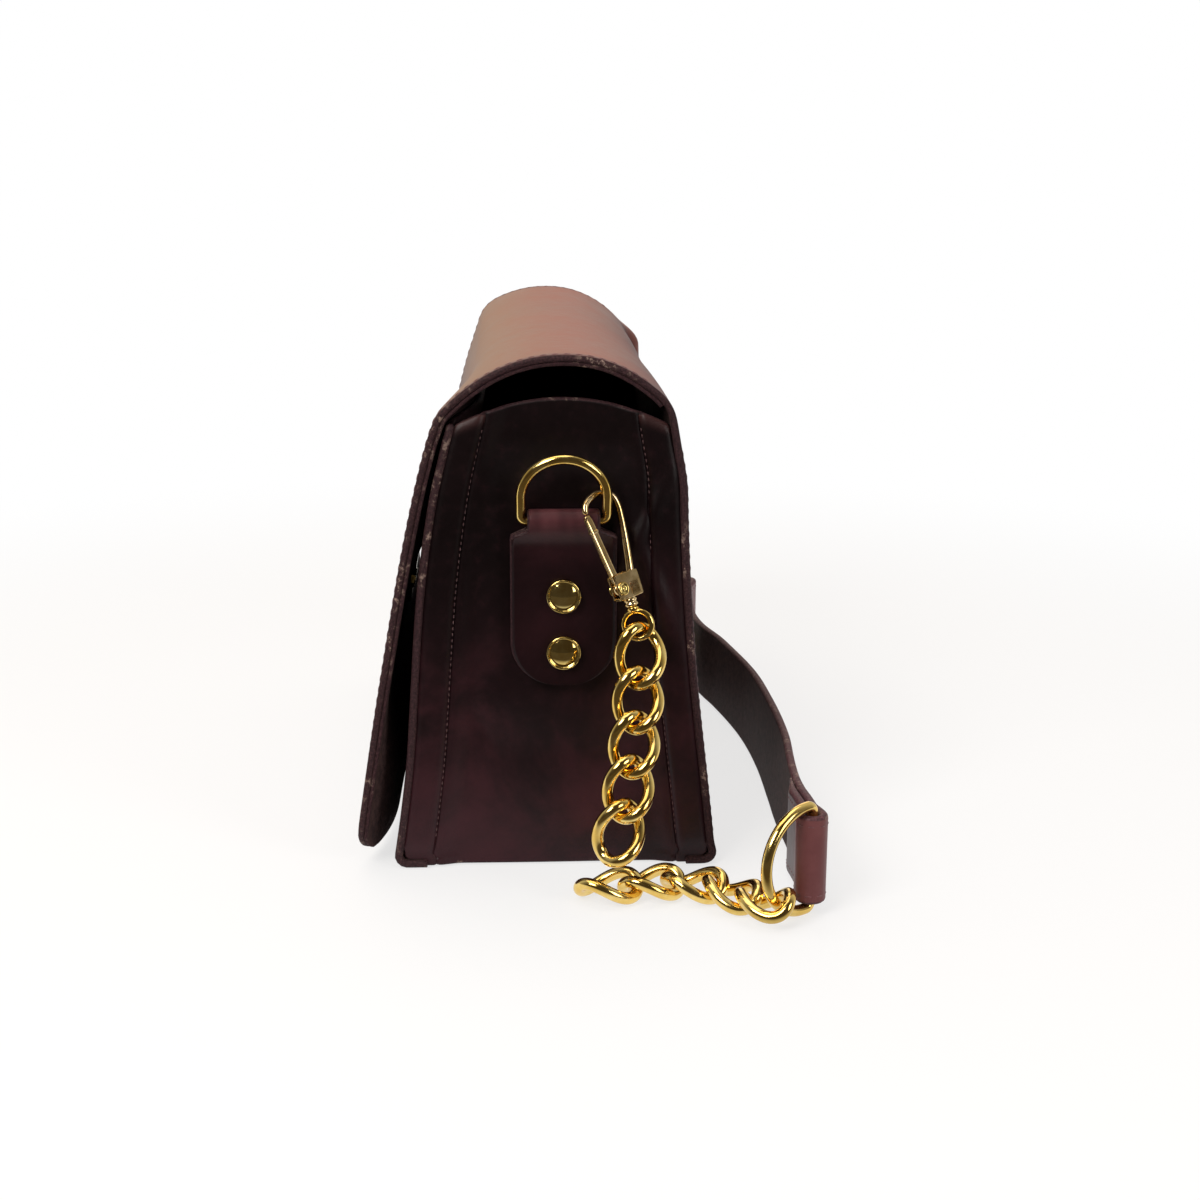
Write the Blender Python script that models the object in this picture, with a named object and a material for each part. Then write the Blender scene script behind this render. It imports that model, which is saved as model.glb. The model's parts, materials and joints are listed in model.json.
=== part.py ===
# A stiff leather shoulder bag: a leather body, a two layer flap, two riveted end tabs with
# D-rings, two trigger clasps, two twisted link chains and a leather strap lying behind it.
# Metres. X runs along the bag's length, -Y is its front, +Z is up. The origin is the middle
# of the underside of the base.

from math import cos, pi, radians, sin

import bmesh
import bpy
import numpy as np

# Fits shared by all pieces
GAP = 0.0003  # between faces that touch on the real bag
OVERRUN = 0.004  # how far a cutter passes the piece it cuts

# Body
BODY_HALF_LENGTH = 0.1102  # middle to the cut edge of the front and back panels
BODY_HEIGHT = 0.1430  # floor to the top edge of the front panel
BASE_HALF_DEPTH = 0.0516  # middle to the outer face of a panel at the floor
PANEL_THICKNESS = 0.0026
FRONT_TOP_DEPTH = 0.0330  # middle to the front panel's outer face at its top
BACK_TOP_DEPTH = 0.0412  # middle to the back panel's outer face at its top
FOOT_RADIUS = 0.0040  # outer bend where a panel turns in under the base
FOOT_WIDTH = 0.0105  # turned in part of a panel, measured from its outer face
LEAN_SHARE = 1.03  # thickness of a leaning panel measured level, over its thickness
# Panel outlines from the floor to the top: (share of height, share of the lean from base to top)
FRONT_LEAN_SHARES = (
    (0.05, 0.03), (0.13, 0.12), (0.25, 0.23), (0.38, 0.31), (0.57, 0.42),
    (0.69, 0.52), (0.82, 0.67), (0.92, 0.84), (1.00, 1.00),
)
BACK_LEAN_SHARES = (
    (0.05, 0.09), (0.20, 0.33), (0.40, 0.66), (0.55, 0.85), (0.73, 1.01), (0.88, 1.07), (1.00, 1.00),
)

# Gussets, the two end panels
GUSSET_INSET = 0.0014  # a gusset's outer face inside the cut edges of the panels
GUSSET_OUTER_X = BODY_HALF_LENGTH - GUSSET_INSET
GUSSET_THICKNESS = 0.0022
HEM_WIDTH = 0.0085  # turned and sewn border along the sides of a gusset
HEM_RISE = 0.0010  # how far the border stands proud
GUSSET_DROP = 0.0005  # a gusset's top edge, at its sides, below the front panel's
GUSSET_TOP_SIDE = BODY_HEIGHT - GUSSET_DROP
GUSSET_TOP_RISE = 0.0080  # how much higher the top edge is in the middle
GUSSET_FOOT = 0.0006  # height of the bottom edge

# Flap
FLAP_OVERLAP = 0.0013  # how far the flap stands out past the panels at each end
FLAP_HALF_LENGTH = BODY_HALF_LENGTH + FLAP_OVERLAP
FLAP_LEATHER = 0.0017
FLAP_LINING = 0.0011
SEAM_RISE = 0.0022  # the flap meets the back panel this far above the front panel's top
SEAM_HEIGHT = BODY_HEIGHT + SEAM_RISE
HINGE_OUT = 0.0010  # the flap's hinge line lies behind the back panel's outer face
HINGE_DROP = 0.0010  # and below the seam
ARCH_RISE = 0.0186  # crown of the flap above the seam
ARCH_POWER = 2.2
ARCH_START = radians(5.7)  # where the arch leaves the seam, round its own curve
ARCH_STAND_OFF = 0.0026  # the flap's outer face in front of the front panel's top
ARCH_FRONT_DEPTH = FRONT_TOP_DEPTH + ARCH_STAND_OFF
ARCH_END_RISE = 0.0010  # height above the seam where the flap's front drops
FLAP_HEM_HEIGHT = 0.0045  # lowest edge of the hanging flap above the floor
FLAP_HEM_STAND_OFF = 0.0128  # that edge in front of the front panel's foot
FLAP_FLARE = BASE_HALF_DEPTH + FLAP_HEM_STAND_OFF - ARCH_FRONT_DEPTH
FLAP_FLARE_POWER = 0.75
FLAP_CORNER = 0.0120  # radius of its two lower corners

# Magnetic snap behind the flap
SNAP_DROP = 0.0730  # its middle below the front panel's top
SNAP_HEIGHT = BODY_HEIGHT - SNAP_DROP
SNAP_DIAMETER = 0.0180
SNAP_CUP_THICKNESS = 0.0015
SNAP_CUP_DEPTH = 0.0008
SNAP_CUP_DIAMETER = 0.0120
SNAP_NIB_DIAMETER = 0.0070
SNAP_NIB_HEIGHT = 0.0005
SNAP_STUD_THICKNESS = 0.0012

# End tabs and their rivets
TAB_CENTRE_Y = 0.0022
TAB_WIDTH = 0.0328
TAB_NECK_WIDTH = 0.0222
TAB_THICKNESS = 0.0017
TAB_BOTTOM = 0.0615
TAB_CORNER = 0.0140
TAB_SHOULDER = 0.0030  # height of the slanted shoulder under the neck
TAB_TAPER = 0.0090  # height over which the fold closes below the ring's bar
RIVET_CAP = 0.0107
RIVET_RIM = 0.0007
RIVET_DOME = 0.0013
# Outer dome of a rivet: (share of its rise, share of the cap's radius), and its flatter inner one
DOME_SHARES = ((0.45, 0.80), (0.86, 0.42))
INNER_DOME_SHARES = ((0.75, 0.50),)
RIVET_SHANK = 0.0028
RIVET_HOLE_CLEARANCE = 0.0003
RIVET_LOW = 0.0722
RIVET_PITCH = 0.0180

# D-rings on the tabs
RING_WIRE = 0.0032
RING_INSIDE = 0.0230
RING_BAR_HEIGHT = 0.1137
RING_DEPTH = 0.0206  # bar to the middle of the bow, between wire centres
RING_CORNER = 0.0020
RING_LEAN = radians(16)

# Clasps. A clasp is drawn in its own plane: across it and down it from the top of its hook.
CLASP_SEAT = (-0.00087, -0.0028, 0.00059)  # from where the hook rests on the ring to its top
CLASP_DOWN = (0.160, 0.294, -0.941)  # direction from hook to swivel
CLASP_FACE = (0.771, 0.559, 0.306)  # direction that the flat of the clasp faces
HOOK_WIRE = 0.0022
HOOK_BAR = 0.0030  # thickness of the hook's bar at the base
HOOK_HALF_WIDTH = 0.0064
HOOK_LENGTH = 0.0270  # top of the hook to the top of the base
BASE_BLOCK_HEIGHT = 0.0054
BASE_BLOCK_WIDTH = 0.0092
BASE_BLOCK_DEPTH = 0.0040
NECK_DIAMETER = 0.0046
NECK_HEIGHT = 0.0028
GATE_THICKNESS = 0.0018
GATE_SLOT = 0.0003
GATE_EYE = 0.0020  # outer radius of the gate's eye
GATE_ROOT = 0.0004  # how far the gate's bar reaches into its eye
GATE_WIDTH_SHARE = 0.90  # width and depth of the gate's bar over its thickness
GATE_DEPTH_SHARE = 0.96
PIN_DIAMETER = 0.0020
PIN_HEAD = 0.0034
PIN_HEAD_HEIGHT = 0.0005
SWIVEL_WIRE = 0.0019
SWIVEL_WIDTH = 0.0104
SWIVEL_HEIGHT = 0.0104
SWIVEL_SINK = 0.0004  # between the neck's end and the top of the eye
SWIVEL_TURN = radians(50)  # how far the eye stands turned from the clasp's own plane
SWIVEL_HEAD = 0.0038
SWIVEL_HEAD_HEIGHT = 0.0008
SWIVEL_TIP_SHARE = 1.2  # radius of the head's lower end over the eye's wire
# Hook outline: (share of half width, share of hook length), from the base up the fixed bar,
# over the top and down to the nose
HOOK_SHARES = (
    (0.42, 1.01), (0.62, 0.80), (0.82, 0.55), (0.97, 0.32), (1.00, 0.17), (0.86, 0.055), (0.50, -0.005),
    (0.00, -0.03), (-0.50, 0.00), (-0.86, 0.055), (-1.00, 0.125),
)
GATE_SHARES = ((-1.02, 0.170), (-0.44, 1.05))

# Chains
LINK_HALF_LENGTH = 0.0090  # between wire centres
LINK_HALF_WIDTH = 0.0063
LINK_WIRE = 0.0038
LINK_TWIST = radians(45)
LINK_SHOULDER_SHARE = 0.12  # how much fuller than an ellipse a link is beside its ends
LINK_PLAY = 0.0007  # slack between two joined links
LINK_PITCH = 2 * LINK_HALF_LENGTH - LINK_WIRE - LINK_PLAY
LINK_REST = 0.0046  # height of the middle of a link that lies on the floor
HANGING_LINKS = 5
# The hanging chain's way at the right hand end, from where it hangs in the swivel's eye
HANGING_ROUTE = (
    (0.0, 0.0, 0.0), (0.00464, -0.00067, -0.0133), (0.00894, -0.00187, -0.0263),
    (0.01304, -0.00347, -0.0393), (0.01694, -0.00567, -0.0519), (0.02034, -0.00947, -0.0643),
    (0.02264, -0.01547, -0.0764),
)
# The chain's way over the floor, from the hanging part's foot to the strap's ring: where it
# starts at the right hand end, then one heading for each link, from +X towards +Y
FLOOR_STAND_OFF = 0.0292  # its start out from the gusset
FLOOR_START = (GUSSET_OUTER_X + FLOOR_STAND_OFF, 0.0085)
FAR_CHAIN_INSET = 0.0105  # how much nearer to the front the left hand chain lies on the floor
FLOOR_HEADINGS = (radians(95), radians(100), radians(72), radians(42), radians(38))
FLOOR_CLIMB = radians(8)  # how steeply the last link rises to the ring

# Strap and its rings
STRAP_WIDTH = 0.0280
STRAP_THICKNESS = 0.0028
STRAP_RING_WIRE = 0.0034
STRAP_RING_INSIDE = 0.0290
STRAP_RING_DEPTH = 0.0190
STRAP_LAP = 0.0420  # length of the end that is folded back round the ring
STRAP_LIFT_LENGTH = 0.0450  # over which the strap rises from the floor to its ring
STRAP_TAPER = 0.0110  # over which the two layers of a folded end come together
STRAP_BEHIND = 0.0254  # the middle of its length behind the back panel's foot
# The strap's way along the floor behind the bag, between its two rings: (share of the body's
# half length, share of the distance behind the bag)
STRAP_ROUTE_SHARES = (
    (-1.171, 0.455), (-0.980, 0.420), (-0.753, 0.480), (-0.517, 0.700), (-0.172, 0.925),
    (0.172, 1.000), (0.499, 1.000), (0.753, 0.961), (0.980, 0.941), (1.180, 0.941),
)
STRAP_RING_CATCH = radians(-45)  # where round its bow the last link hangs, from the middle

# How finely round forms are divided
WIRE_SIDES = 8
LINK_SIDES = 6
LINK_STEPS = 16
TURN_STEPS = 20
SMALL_TURN_STEPS = 12
EYE_STEPS = 18
BOW_STEPS = 13
ARCH_STEPS = 19
DROP_STEPS = 12
GUSSET_ROWS = 12
CURVE_STEPS = 2
BEND_STEPS = 5
CORNER_STEPS = 4
FOLD_STEPS = 9
TAPER_STEPS = 5
ROUTE_STEPS = 24
STRAP_STEPS = 5
HALVINGS = 30
GUSSET_COLUMNS = 7
SHARP_ANGLE = radians(35)


def material(name, colour, roughness, metallic):
    made = bpy.data.materials.new(name)
    made.use_nodes = True
    shader = made.node_tree.nodes["Principled BSDF"]
    shader.inputs["Base Color"].default_value = (*colour, 1)
    shader.inputs["Roughness"].default_value = roughness
    shader.inputs["Metallic"].default_value = metallic
    made.diffuse_color = (*colour, 1)
    return made


def solid(name, points, faces, finish, origin=(0, 0, 0)):
    """An object from points in world space, with its own origin at the given place."""
    mesh = bpy.data.meshes.new(name)
    shifted = np.asarray(points, float) - np.asarray(origin, float)
    mesh.from_pydata(shifted.tolist(), [], [list(map(int, face)) for face in faces])
    body = bmesh.new()
    body.from_mesh(mesh)
    bmesh.ops.recalc_face_normals(body, faces=body.faces)
    body.to_mesh(mesh)
    body.free()
    mesh.materials.append(finish)
    mesh.shade_smooth()
    mesh.set_sharp_from_angle(angle=SHARP_ANGLE)
    made = bpy.data.objects.new(name, mesh)
    made.location = origin
    bpy.context.scene.collection.objects.link(made)
    return made


def cut(target, cutter):
    """Takes the cutter's shape out of the target."""
    cutter.hide_render = True
    cutter.display_type = "WIRE"
    step = target.modifiers.new(cutter.name, "BOOLEAN")
    step.operation = "DIFFERENCE"
    step.object = cutter


def smooth_curve(guides, steps):
    """Points along a Catmull-Rom curve through the guides, with so many steps between two."""
    guides = np.asarray(guides, float)
    padded = np.vstack([2 * guides[0] - guides[1], guides, 2 * guides[-1] - guides[-2]])
    share = np.linspace(0, 1, steps, endpoint=False)[:, None]
    pieces = []
    for before, start, end, after in zip(padded, padded[1:], padded[2:], padded[3:]):
        pieces.append(0.5 * (
            2 * start + (end - before) * share
            + (2 * before - 5 * start + 4 * end - after) * share**2
            + (3 * start - before - 3 * end + after) * share**3
        ))
    return np.vstack([*pieces, guides[-1:]])


def lengths_along(points):
    steps = np.linalg.norm(np.diff(points, axis=0), axis=1)
    return np.concatenate([[0], np.cumsum(steps)])


def grid_faces(rows, columns, closed_rows, closed_columns):
    """Quads over a grid of points that is numbered row by row."""
    faces = []
    for row in range(rows if closed_rows else rows - 1):
        for column in range(columns if closed_columns else columns - 1):
            below, right = (row + 1) % rows, (column + 1) % columns
            faces.append((
                row * columns + column, row * columns + right,
                below * columns + right, below * columns + column,
            ))
    return faces


def unit(vector):
    return np.asarray(vector, float) / np.linalg.norm(vector)


def tangents(points, closed):
    if closed:
        ahead, behind = np.roll(points, -1, axis=0), np.roll(points, 1, axis=0)
    else:
        ahead, behind = np.vstack([points[1:], points[-1:]]), np.vstack([points[:1], points[:-1]])
    ways = ahead - behind
    return ways / np.linalg.norm(ways, axis=1)[:, None]


def tube(points, up, radius, sides, closed):
    """A round bar along the points. up is a direction that the path never runs along, or one
    for each point. radius is one number or one for each point."""
    points = np.asarray(points, float)
    along = tangents(points, closed)
    across = np.cross(along, np.broadcast_to(np.asarray(up, float), along.shape))
    across /= np.linalg.norm(across, axis=1)[:, None]
    over = np.cross(across, along)
    turn = np.arange(sides) / sides * 2 * pi
    radius = np.broadcast_to(np.asarray(radius, float), len(points))[:, None, None]
    rings = points[:, None] + radius * (
        np.cos(turn)[None, :, None] * across[:, None] + np.sin(turn)[None, :, None] * over[:, None]
    )
    faces = grid_faces(len(points), sides, closed, True)
    if not closed:
        last = (len(points) - 1) * sides
        faces += [tuple(range(sides))[::-1], tuple(range(last, last + sides))]
    return rings.reshape(-1, 3), faces


def turned(profile, centre, axis, steps):
    """A solid of revolution: profile holds (distance along the axis, radius), both ends on
    the axis."""
    axis = unit(axis)
    side = unit(np.cross(axis, (0, 0, 1)) if abs(axis[2]) < 0.9 else np.cross(axis, (0, 1, 0)))
    other = np.cross(axis, side)
    turn = np.arange(steps) / steps * 2 * pi
    points = [np.asarray(centre, float) + profile[0][0] * axis]
    for along, radius in profile[1:-1]:
        points += list(
            centre + along * axis + radius * (np.cos(turn)[:, None] * side + np.sin(turn)[:, None] * other)
        )
    points.append(np.asarray(centre, float) + profile[-1][0] * axis)
    rings = len(profile) - 2
    faces = [
        (1 + row * steps + a, 1 + row * steps + (a + 1) % steps, 1 + (row + 1) * steps + (a + 1) % steps,
         1 + (row + 1) * steps + a)
        for row in range(rings - 1) for a in range(steps)
    ]
    last = 1 + (rings - 1) * steps
    for a in range(steps):
        faces.append((0, 1 + (a + 1) % steps, 1 + a))
        faces.append((last + steps, last + a, last + (a + 1) % steps))
    return np.array(points), faces


def ribbon(centres, half_thickness, half_width):
    """A flat strip: at each centre a rectangle with the given half vectors."""
    corners = np.stack([
        centres + half_thickness + half_width, centres + half_thickness - half_width,
        centres - half_thickness - half_width, centres - half_thickness + half_width,
    ], axis=1)
    faces = grid_faces(len(centres), 4, False, True)
    last = (len(centres) - 1) * 4
    faces += [(3, 2, 1, 0), (last, last + 1, last + 2, last + 3)]
    return corners.reshape(-1, 3), faces


def fused(name, shapes, finish, origin=(0, 0, 0)):
    """One object that unites overlapping shapes."""
    first = solid(name, *shapes[0], finish, origin)
    for number, shape in enumerate(shapes[1:]):
        helper = solid(f"{name}_add_{number}", *shape, finish)
        helper.hide_render = True
        helper.display_type = "WIRE"
        step = first.modifiers.new(helper.name, "BOOLEAN")
        step.operation = "UNION"
        step.object = helper
    return first


def normals_2d(line):
    """Left hand normals of a polyline in a plane."""
    ways = tangents(line, False)
    return np.stack([-ways[:, 1], ways[:, 0]], axis=1)


def extruded_sheet(name, line, thickness, half_length, finish, origin=(0, 0, 0)):
    """A bent sheet: a line in the YZ plane, thickened, running from -half_length to
    +half_length along X."""
    outer = line
    inner = line + normals_2d(line) * thickness
    count = len(line)
    ring = np.vstack([outer, inner[::-1]])
    points = [(x, y, z) for x in (-half_length, half_length) for y, z in ring]
    total = 2 * count
    faces = [(i, (i + 1) % total, total + (i + 1) % total, total + i) for i in range(total)]
    for start in (0, total):
        for i in range(count - 1):
            faces.append((start + i, start + i + 1, start + total - 2 - i, start + total - 1 - i))
    return solid(name, np.array(points), faces, finish, origin)


def panel_line(sign, top_depth, shares, top_height):
    """Outer face of the front (sign -1) or back (+1) panel, from under the base to its top."""
    lean = BASE_HALF_DEPTH - top_depth
    heights = np.array([height * top_height for height, _ in shares])
    depths = np.array([BASE_HALF_DEPTH - share * lean for _, share in shares])
    wall = smooth_curve(np.stack([depths, heights], axis=1), CURVE_STEPS)
    turn = np.linspace(pi / 2, 0, BEND_STEPS)
    bend = np.stack([
        BASE_HALF_DEPTH - FOOT_RADIUS + FOOT_RADIUS * np.cos(turn),
        FOOT_RADIUS - FOOT_RADIUS * np.sin(turn),
    ], axis=1)
    foot = np.array([[BASE_HALF_DEPTH - FOOT_WIDTH, 0]])
    line = np.vstack([foot, bend, wall])
    line[:, 0] *= sign
    return line


def front_line():
    return panel_line(-1, FRONT_TOP_DEPTH, FRONT_LEAN_SHARES, BODY_HEIGHT)


def back_line():
    return panel_line(1, BACK_TOP_DEPTH, BACK_LEAN_SHARES, SEAM_HEIGHT - GAP)


def body_panels(leather):
    # The left of a line is its inside for the back panel and its outside for the front one,
    # so the front line is walked from the top down.
    extruded_sheet("front_panel", front_line()[::-1], PANEL_THICKNESS, BODY_HALF_LENGTH, leather)
    extruded_sheet("back_panel", back_line(), PANEL_THICKNESS, BODY_HALF_LENGTH, leather)
    half_depth = BASE_HALF_DEPTH - FOOT_WIDTH - GAP
    half_length = GUSSET_OUTER_X - GUSSET_THICKNESS - GAP
    line = np.array([[-half_depth, 0], [half_depth, 0]])
    extruded_sheet("base_panel", line, PANEL_THICKNESS, half_length, leather)


def outer_depth(line, height):
    """Distance from the middle to the outer face of a panel at a height."""
    wall = line[line[:, 1] > FOOT_RADIUS / 2]
    return np.interp(height, wall[:, 1], np.abs(wall[:, 0]))


def inner_depth(line, height):
    """Distance from the middle to the inner face of a panel at a height."""
    return outer_depth(line, height) - PANEL_THICKNESS * LEAN_SHARE - GAP


def gusset(side, leather):
    """An end panel. Rows run up it and columns across it: its outline follows the front and
    back panels, its top and bottom edges are bowed and its borders stand proud."""
    name = "gusset_right" if side > 0 else "gusset_left"
    notch = PANEL_THICKNESS + GAP
    heights = [GUSSET_FOOT, notch - GAP / 2, *np.linspace(notch, GUSSET_TOP_SIDE, GUSSET_ROWS)]
    rows = len(heights)
    border = np.array([0, HEM_RISE, HEM_WIDTH - HEM_RISE, HEM_WIDTH])
    rise = np.array([0, HEM_RISE, HEM_RISE, 0])
    front, back = front_line(), back_line()
    outer, inner = [], []
    for height in heights:
        row = (height - GUSSET_FOOT) / (GUSSET_TOP_SIDE - GUSSET_FOOT)
        sample = max(height, FOOT_RADIUS)
        left, right = -inner_depth(front, sample), inner_depth(back, sample)
        if height < notch:
            right = BASE_HALF_DEPTH - FOOT_WIDTH - GAP
            left = -right
        elif height < FOOT_RADIUS + PANEL_THICKNESS:
            tuck = FOOT_RADIUS + PANEL_THICKNESS - height
            left, right = left + tuck / 2, right - tuck / 2
        middle = np.linspace(left + HEM_WIDTH, right - HEM_WIDTH, GUSSET_COLUMNS)[1:-1]
        depths = np.concatenate([left + border, middle, (right - border)[::-1]])
        proud = np.concatenate([rise, np.zeros(len(middle)), rise[::-1]])
        bow = 1 - (2 * (depths - left) / (right - left) - 1) ** 2
        lifted = height + bow * row * GUSSET_TOP_RISE
        outer.append(np.stack([side * (GUSSET_OUTER_X + proud), depths, lifted], axis=1))
        inner.append(np.stack([
            np.full(len(depths), side * (GUSSET_OUTER_X - GUSSET_THICKNESS)), depths, lifted,
        ], axis=1))
    columns = len(outer[0])
    points = np.vstack([*outer, *inner])
    count = rows * columns
    front_faces = grid_faces(rows, columns, False, False)
    faces = front_faces + [tuple(count + i for i in face[::-1]) for face in front_faces]
    rim = (
        [i for i in range(columns)]
        + [r * columns + columns - 1 for r in range(1, rows)]
        + [(rows - 1) * columns + i for i in range(columns - 2, -1, -1)]
        + [r * columns for r in range(rows - 2, 0, -1)]
    )
    for a, b in zip(rim, rim[1:] + rim[:1]):
        faces.append((a, b, count + b, count + a))
    made = solid(name, points, faces, leather)
    return made


def flap_line():
    """Outer face of the closed flap, from the seam over the arch and down the front."""
    total = FLAP_LEATHER + GAP + FLAP_LINING
    back = BACK_TOP_DEPTH
    front = -ARCH_FRONT_DEPTH
    middle, half = (back + front) / 2, (back - front) / 2
    across = np.cos(np.linspace(ARCH_START, pi, ARCH_STEPS))
    arch = np.stack([
        middle + half * across,
        SEAM_HEIGHT + total + (ARCH_RISE - total) * (1 - np.abs(across) ** ARCH_POWER)
        + (ARCH_END_RISE - total) * (1 - across) / 2 * np.abs(across) ** ARCH_POWER,
    ], axis=1)
    start = arch[-1, 1]
    fall = np.linspace(0, 1, DROP_STEPS + 1)[1:]
    drop = np.stack([
        front - FLAP_FLARE * fall**FLAP_FLARE_POWER,
        start + (FLAP_HEM_HEIGHT - start) * fall,
    ], axis=1)
    rise = np.array([[back, SEAM_HEIGHT]])
    return np.vstack([rise, arch, drop])


def hinge_place():
    """The flap's hinge line, just outside the back panel, so that its layers rise as it opens."""
    return np.array([0, BACK_TOP_DEPTH + HINGE_OUT, SEAM_HEIGHT - HINGE_DROP])


def flap_layer(name, outer_offset, thickness, finish, inset):
    """One leather layer of the flap, with its two lower corners rounded."""
    line = flap_line()
    ways = normals_2d(line)
    outer = line + ways * outer_offset
    inner = line + ways * (outer_offset + thickness)
    along = lengths_along(line)
    from_hem = along[-1] - along
    corner = FLAP_CORNER
    reach = np.clip(corner - from_hem, 0, None)
    narrow = corner - np.sqrt(np.clip(corner**2 - reach**2, 0, None))
    half = FLAP_HALF_LENGTH - inset - narrow
    points = []
    for o, i, h in zip(outer, inner, half):
        points += [(h, *o), (-h, *o), (-h, *i), (h, *i)]
    faces = grid_faces(len(line), 4, False, True)
    last = (len(line) - 1) * 4
    faces += [(3, 2, 1, 0), (last, last + 1, last + 2, last + 3)]
    return solid(name, np.array(points), faces, finish, hinge_place())


def flap(leather, suede):
    flap_layer("flap_leather", 0, FLAP_LEATHER, leather, 0)
    flap_layer("flap_lining", FLAP_LEATHER + GAP, FLAP_LINING, suede, GAP)


def snap(brass):
    """A thin magnetic snap: its cup lies on the front panel, its stud on the flap's lining."""
    radius = SNAP_DIAMETER / 2
    heights = np.array([SNAP_HEIGHT - radius, SNAP_HEIGHT, SNAP_HEIGHT + radius])
    panel = outer_depth(front_line(), heights)
    drop = flap_line()[-DROP_STEPS - 1 :][::-1]
    outer = np.interp(heights, drop[:, 1], -drop[:, 0])
    panel_lean = np.arctan2(panel[0] - panel[-1], SNAP_DIAMETER)
    flap_lean = np.arctan2(outer[0] - outer[-1], SNAP_DIAMETER)
    panel_face = np.array([0, -cos(panel_lean), sin(panel_lean)])
    lining_face = np.array([0, cos(flap_lean), -sin(flap_lean)])
    cup = SNAP_CUP_THICKNESS
    cup_profile = [
        (0, 0), (0, radius), (cup, radius), (cup, SNAP_CUP_DIAMETER / 2),
        (cup - SNAP_CUP_DEPTH, SNAP_CUP_DIAMETER / 2), (cup - SNAP_CUP_DEPTH, 0),
    ]
    seat = np.array([0, -panel.mean(), SNAP_HEIGHT]) + panel_face * 2 * GAP
    solid("snap_cup", *turned(cup_profile, seat, panel_face, TURN_STEPS), brass)
    stud_profile = [
        (0, 0), (0, radius), (SNAP_STUD_THICKNESS, radius), (SNAP_STUD_THICKNESS, SNAP_NIB_DIAMETER / 2),
        (SNAP_STUD_THICKNESS + SNAP_NIB_HEIGHT, SNAP_NIB_DIAMETER / 2),
        (SNAP_STUD_THICKNESS + SNAP_NIB_HEIGHT, 0),
    ]
    layers = FLAP_LEATHER + GAP + FLAP_LINING
    seat = np.array([0, -outer.mean(), SNAP_HEIGHT]) + lining_face * (layers + 2 * GAP)
    shape = turned(stud_profile, seat, lining_face, TURN_STEPS)
    solid("snap_stud", *shape, brass, hinge_place())


def ring_bar_x():
    return GUSSET_OUTER_X + GAP + TAB_THICKNESS + GAP + RING_WIRE / 2


def rivet_heights():
    return [RIVET_LOW, RIVET_LOW + RIVET_PITCH]


def tab_stations():
    """The folded strip in the XZ plane: up its back leg, round the ring's bar and down the
    front leg. Gives the centre line, its normals and the half width at each point."""
    half = TAB_THICKNESS / 2
    back_x = GUSSET_OUTER_X + GAP + half
    bar_x, bar_z = ring_bar_x(), RING_BAR_HEIGHT
    loop = RING_WIRE / 2 + GAP + half
    front_low = back_x + TAB_THICKNESS + GAP
    corner_steps = TAB_CORNER * (1 - np.cos(np.linspace(0, pi / 2, BEND_STEPS)))
    low = TAB_BOTTOM + corner_steps
    shoulder = bar_z - RING_WIRE / 2 - 2 * GAP
    straight = np.array([shoulder - TAB_SHOULDER, shoulder])
    back = np.concatenate([low, straight])
    turn = np.linspace(pi, 0, FOLD_STEPS)
    loop_points = np.stack([bar_x + loop * np.cos(turn), bar_z + loop * np.sin(turn)], axis=1)
    share = np.linspace(0, 1, TAPER_STEPS)[1:]
    ease = (1 + np.cos(pi * share)) / 2
    taper = np.stack([front_low + (bar_x + loop - front_low) * ease, bar_z - TAB_TAPER * share], axis=1)
    back_leg = np.stack([np.full(len(back), back_x), back], axis=1)
    front_leg = np.stack([np.full(len(low), front_low), low], axis=1)[::-1]
    line = np.vstack([back_leg, loop_points, taper, front_leg])
    heights = line[:, 1]
    neck, wide = TAB_NECK_WIDTH / 2, TAB_WIDTH / 2
    slanted = wide + (neck - wide) * np.clip((heights - straight[0]) / TAB_SHOULDER, 0, 1)
    drop = np.clip(TAB_CORNER - (heights - TAB_BOTTOM), 0, TAB_CORNER)
    rounded = TAB_CORNER - np.sqrt(TAB_CORNER**2 - drop**2)
    return line, slanted - rounded


def tab(side, leather):
    name = "tab_right" if side > 0 else "tab_left"
    line, half_width = tab_stations()
    sheet_side = normals_2d(line) * TAB_THICKNESS / 2
    centres = np.stack([side * line[:, 0], np.full(len(line), TAB_CENTRE_Y), line[:, 1]], axis=1)
    thick = np.stack([side * sheet_side[:, 0], np.zeros(len(line)), sheet_side[:, 1]], axis=1)
    wide = np.stack([np.zeros(len(line)), half_width, np.zeros(len(line))], axis=1)
    return solid(name, *ribbon(centres, thick, wide), leather)


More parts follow.
